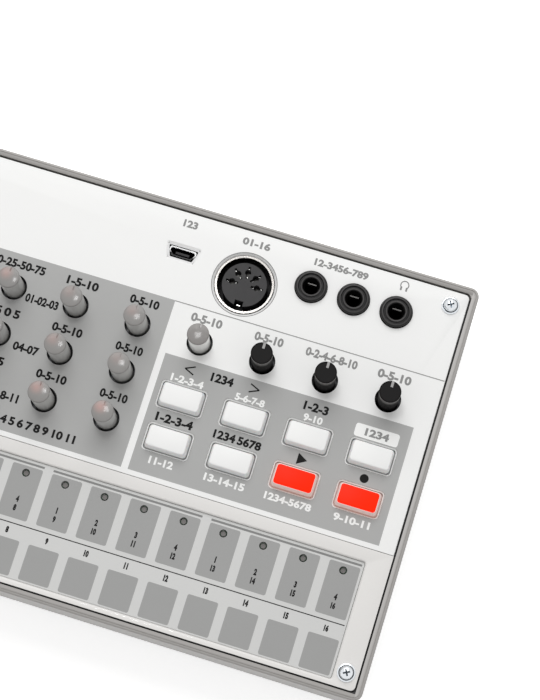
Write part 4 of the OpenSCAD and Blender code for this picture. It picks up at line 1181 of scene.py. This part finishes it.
glowing("button_red", (0.68, 0.60, 0.58), (1.0, 0.55, 0.46), 0.2)
glowing("button_red_face", (0.53, 0.005, 0.0), (1.0, 0.022, 0.0), 0.75, Specular_IOR_Level=0.1)
glowing("lit_figure", (0.8, 0.05, 0.02), (1.0, 0.12, 0.05), 3.0)
print("finishes so far:", len(finishes))

# %% Print inks: for each printed piece an ink, its tone and its shine
INKS = {"printed_fields": ("ink_field", 0.385, 0.5), "key_fields": ("ink_key", 0.325, 0.5),
        "dark_marks": ("ink_dark", 0.008, 0.1), "strip_marks": ("ink_strip", 0.012, 0.1),
        "strip_bars": ("ink_bar", 0.22, 0.3), "grey_marks": ("ink_grey", 0.26, 0.3),
        "white_marks": ("ink_white", 0.88, 0.5)}
for name, tone, shine in INKS.values():
    finish(name, (tone, tone, tone * 0.985), 0.55, drift=0.02, Specular_IOR_Level=shine)
print("inks:", len(INKS))

# %% [markdown]
# ## Copies of knobs and caps
# Each copy has its own mesh and rides on the body of its own knob or button, so it turns or
# sinks by itself. The lamp near a pointer is written into the mesh as an attribute, strong
# in the knobs whose lamp is on and absent in the others.

# %% Button caps with a face of their own
def dress(obj, *names):
    obj.data.materials.clear()
    for name in names:
        obj.data.materials.append(finishes[name])


def paint_where(obj, test):
    """Gives the faces that pass the test the second material."""
    edit(obj)
    select_faces(obj, test)
    obj.active_material_index = 1
    bpy.ops.object.material_slot_assign()
    bpy.ops.object.mode_set(mode="OBJECT")


def paint_top(obj, height):
    paint_where(obj, lambda middle, normal: normal.z > 0.9 and middle.z > height)


dress(cap, "button_white", "button_white_face")
paint_top(cap, CAP_TOP - 0.1)
for name, place in button_place.items():
    button = copy_piece(cap, name + "_cap", *place)
    slot = "button_red" if name in RED_BUTTONS else "button_white"
    for material_slot, colour in zip(button.material_slots, (slot, slot + "_face")):
        material_slot.material = finishes[colour]
    hand_over(button, name + "_button", slot, name + "_button", angle=35)
bpy.data.objects.remove(cap)

# %% Values written into the meshes
LAMPS = {"amp_decay": 0.30, "amp_attack": 0.26, "start": 0.22, "cut": 0.10, "pitch_decay": 0.08,
         "pitch_attack": 0.14, "length": 0.09}


def write_value(obj, name, rule):
    """Writes one value for each point of a mesh, worked out from its place in millimetres."""
    attribute = obj.data.attributes.new(name, "FLOAT", "POINT")
    attribute.data.foreach_set("value", [rule(vert.co / MM) for vert in obj.data.vertices])


def nearest(co, places):
    return min(math.dist(co.xy, place) for place in places)


def hump(value, middle, width):
    """1 where the value is at the middle, falling to 0 at the given width from it."""
    return max(0.0, 1 - abs(value - middle) / width)


def crest_share(co):
    """Painted highlight: 1 on the inner ring of a jack collar, less on its outer edge and 0
    elsewhere.
    """
    around = nearest(co, jack_places)
    return 0.0 if co.z < 35.3 else hump(around, 2.66, 0.34) + 0.55 * hump(around, 3.78, 0.32)


def screw_share(co):
    """Painted shade: 1 down in the groove and the cross of a screw head, 0 on its dome and flange."""
    around = nearest(co, SCREW_PLACES)
    groove = 1.8 < around < 2.1 and 34.9 < co.z < 35.1
    return 1.0 if groove or (around < 1 and co.z < 35.8) else 0.0


# Where highlights are painted on the collars and shade on the screws.
write_value(jacks, "crest", crest_share)
write_value(heads, "crest", screw_share)
print("lamps lit:", len(LAMPS))

# %% Knob copies
# The top of each clear knob takes the darker resin, as painted shade.
dress(clear_knob, "clear_knob", "resin_top")
paint_where(clear_knob, lambda middle, normal: middle.z > KNOB_TOP - 0.45)
dress(dark_knob, "dark_knob", "knob_top_black")
paint_top(dark_knob, KNOB_TOP - 0.4)
dress(pointer, "pointer_white")
for name in CLEAR_KNOBS:
    x, y = knob_place[name]
    knob = copy_piece(clear_knob, name + "_resin", x, y)
    lamp_spot = Vector((x - 0.9, y + 1.0, KNOB_TOP - 0.6))
    write_value(knob, "lamp",
                lambda co: LAMPS.get(name, 0.0) * hump((co - lamp_spot).length, 0, 2.4) ** 1.2)
    # Knobs on the grey field get a painted reflection of it and less painted glow; the tempo knob on
    # the white panel gets neither.
    write_value(knob, "shade", lambda co: 0.0 if name == "tempo" else 0.7)
    hand_over(knob, name + "_knob", "clear_knob", name + "_knob", angle=40)
for name in DARK_KNOBS:
    place = knob_place[name]
    knob = join(name + "_dial", [copy_piece(dark_knob, name + "_body", *place),
                                 copy_piece(pointer, name + "_line", *place)])
    hand_over(knob, name + "_knob", "dark_knob", name + "_knob", angle=20)
for pattern_piece in (clear_knob, dark_knob, pointer):
    bpy.data.objects.remove(pattern_piece)

# %% [markdown]
# ## Give the pieces their finishes
# The solids that still show take the material of their slot, and the new pieces take the ones made
# for them, all but the bezel of the data socket, which gets none. A loop over the record keeps this
# in step with the model.

# %% Assign the finishes
OWN_FINISH = {"din_shield": "shield_steel", "usb_shell": "shell_steel",
              "socket_contacts": "dim_spring"}
DRESSED = {"pearl_frame": "frame_pearl", "contact_tips": "contact_tin",
           "jack_springs": "dim_spring", "screw_heads": "screw_steel",
           "lit_figures": "lit_figure",
           **{piece: row[0] for piece, row in INKS.items()}}
for part in frame["record"]["subparts"]:
    for material_slot in nodes[part["node"]].material_slots:
        material_slot.material = finishes[OWN_FINISH.get(part["node"], part["material_slot"])]
dress(panel, "panel_white", "deep_shade")
paint_where(panel, lambda middle, normal: abs(normal.z) < 0.3
            and nearest(middle, knob_place.values()) < KNOB_HOLE_R + 0.25)
dress(jacks, "jack_black", "deep_shade")
paint_where(jacks, lambda middle, normal: middle.z < COLLAR_FOOT + 1.98)
for piece, name in DRESSED.items():
    dress(bpy.data.objects[piece], name)
print("materials in the scene:", len(bpy.data.materials))

# %% [markdown]
# ## Floor and light
# The machine stands on a plain pale floor. A broad lamp high behind it gives the soft
# shadows that fall to the front, a small one overhead puts the bright spot on each domed
# knob, and the world fills the rest. The floor is made to look white to the camera, to
# mirrors and through glass, but it still takes the shadow and lights the object normally.

# %% Floor
def seen_straight(tree, strength):
    """The strength for what the camera, a mirror or glass shows, and 0 for all other light."""
    path = node(tree, "LightPath").outputs
    return chain(tree, path["Is Camera Ray"], ("ADD", path["Is Glossy Ray"]),
                 ("ADD", path["Is Transmission Ray"]), ("MINIMUM", 1), ("MULTIPLY", strength))


deselect()
bpy.ops.mesh.primitive_plane_add(size=6, location=(0, 0, 0))
floor = bpy.context.object
floor.name = "pale_floor"
tree = blank("pale_floor")
drive(tree, Base_Color=(0.8, 0.8, 0.8, 1), Roughness=0.9, Specular_IOR_Level=0.1,
      Emission_Color=(1, 1, 1, 1), Emission_Strength=seen_straight(tree, 0.6))
dress(floor, "pale_floor")
print("floor:", floor.dimensions.x, "m wide")

# %% World and lamps
WORLD_FILL = 0.55
world = bpy.data.worlds.new("studio")
bpy.context.scene.world = world
world.use_nodes = True
tree = world.node_tree
background = tree.nodes["Background"].inputs
feed(tree, background["Color"], (1, 1, 1, 1))
feed(tree, background["Strength"],
     calc(tree, "ADD", seen_straight(tree, 1 - WORLD_FILL), WORLD_FILL))


def lamp_over(name, place, size, power):
    deselect()
    bpy.ops.object.light_add(type="AREA", location=place)
    lamp = bpy.context.object
    lamp.name = name
    lamp.data.size = size
    lamp.data.energy = power
    lamp.rotation_euler = (-Vector(place)).to_track_quat("-Z", "Y").to_euler()


lamp_over("broad_lamp", (-0.15, 0.75, 0.95), size=0.9, power=7.0)
lamp_over("spot_lamp", (-0.03, 0.12, 0.62), size=0.07, power=0.35)
print("lamps:", [light.name for light in bpy.data.lights])
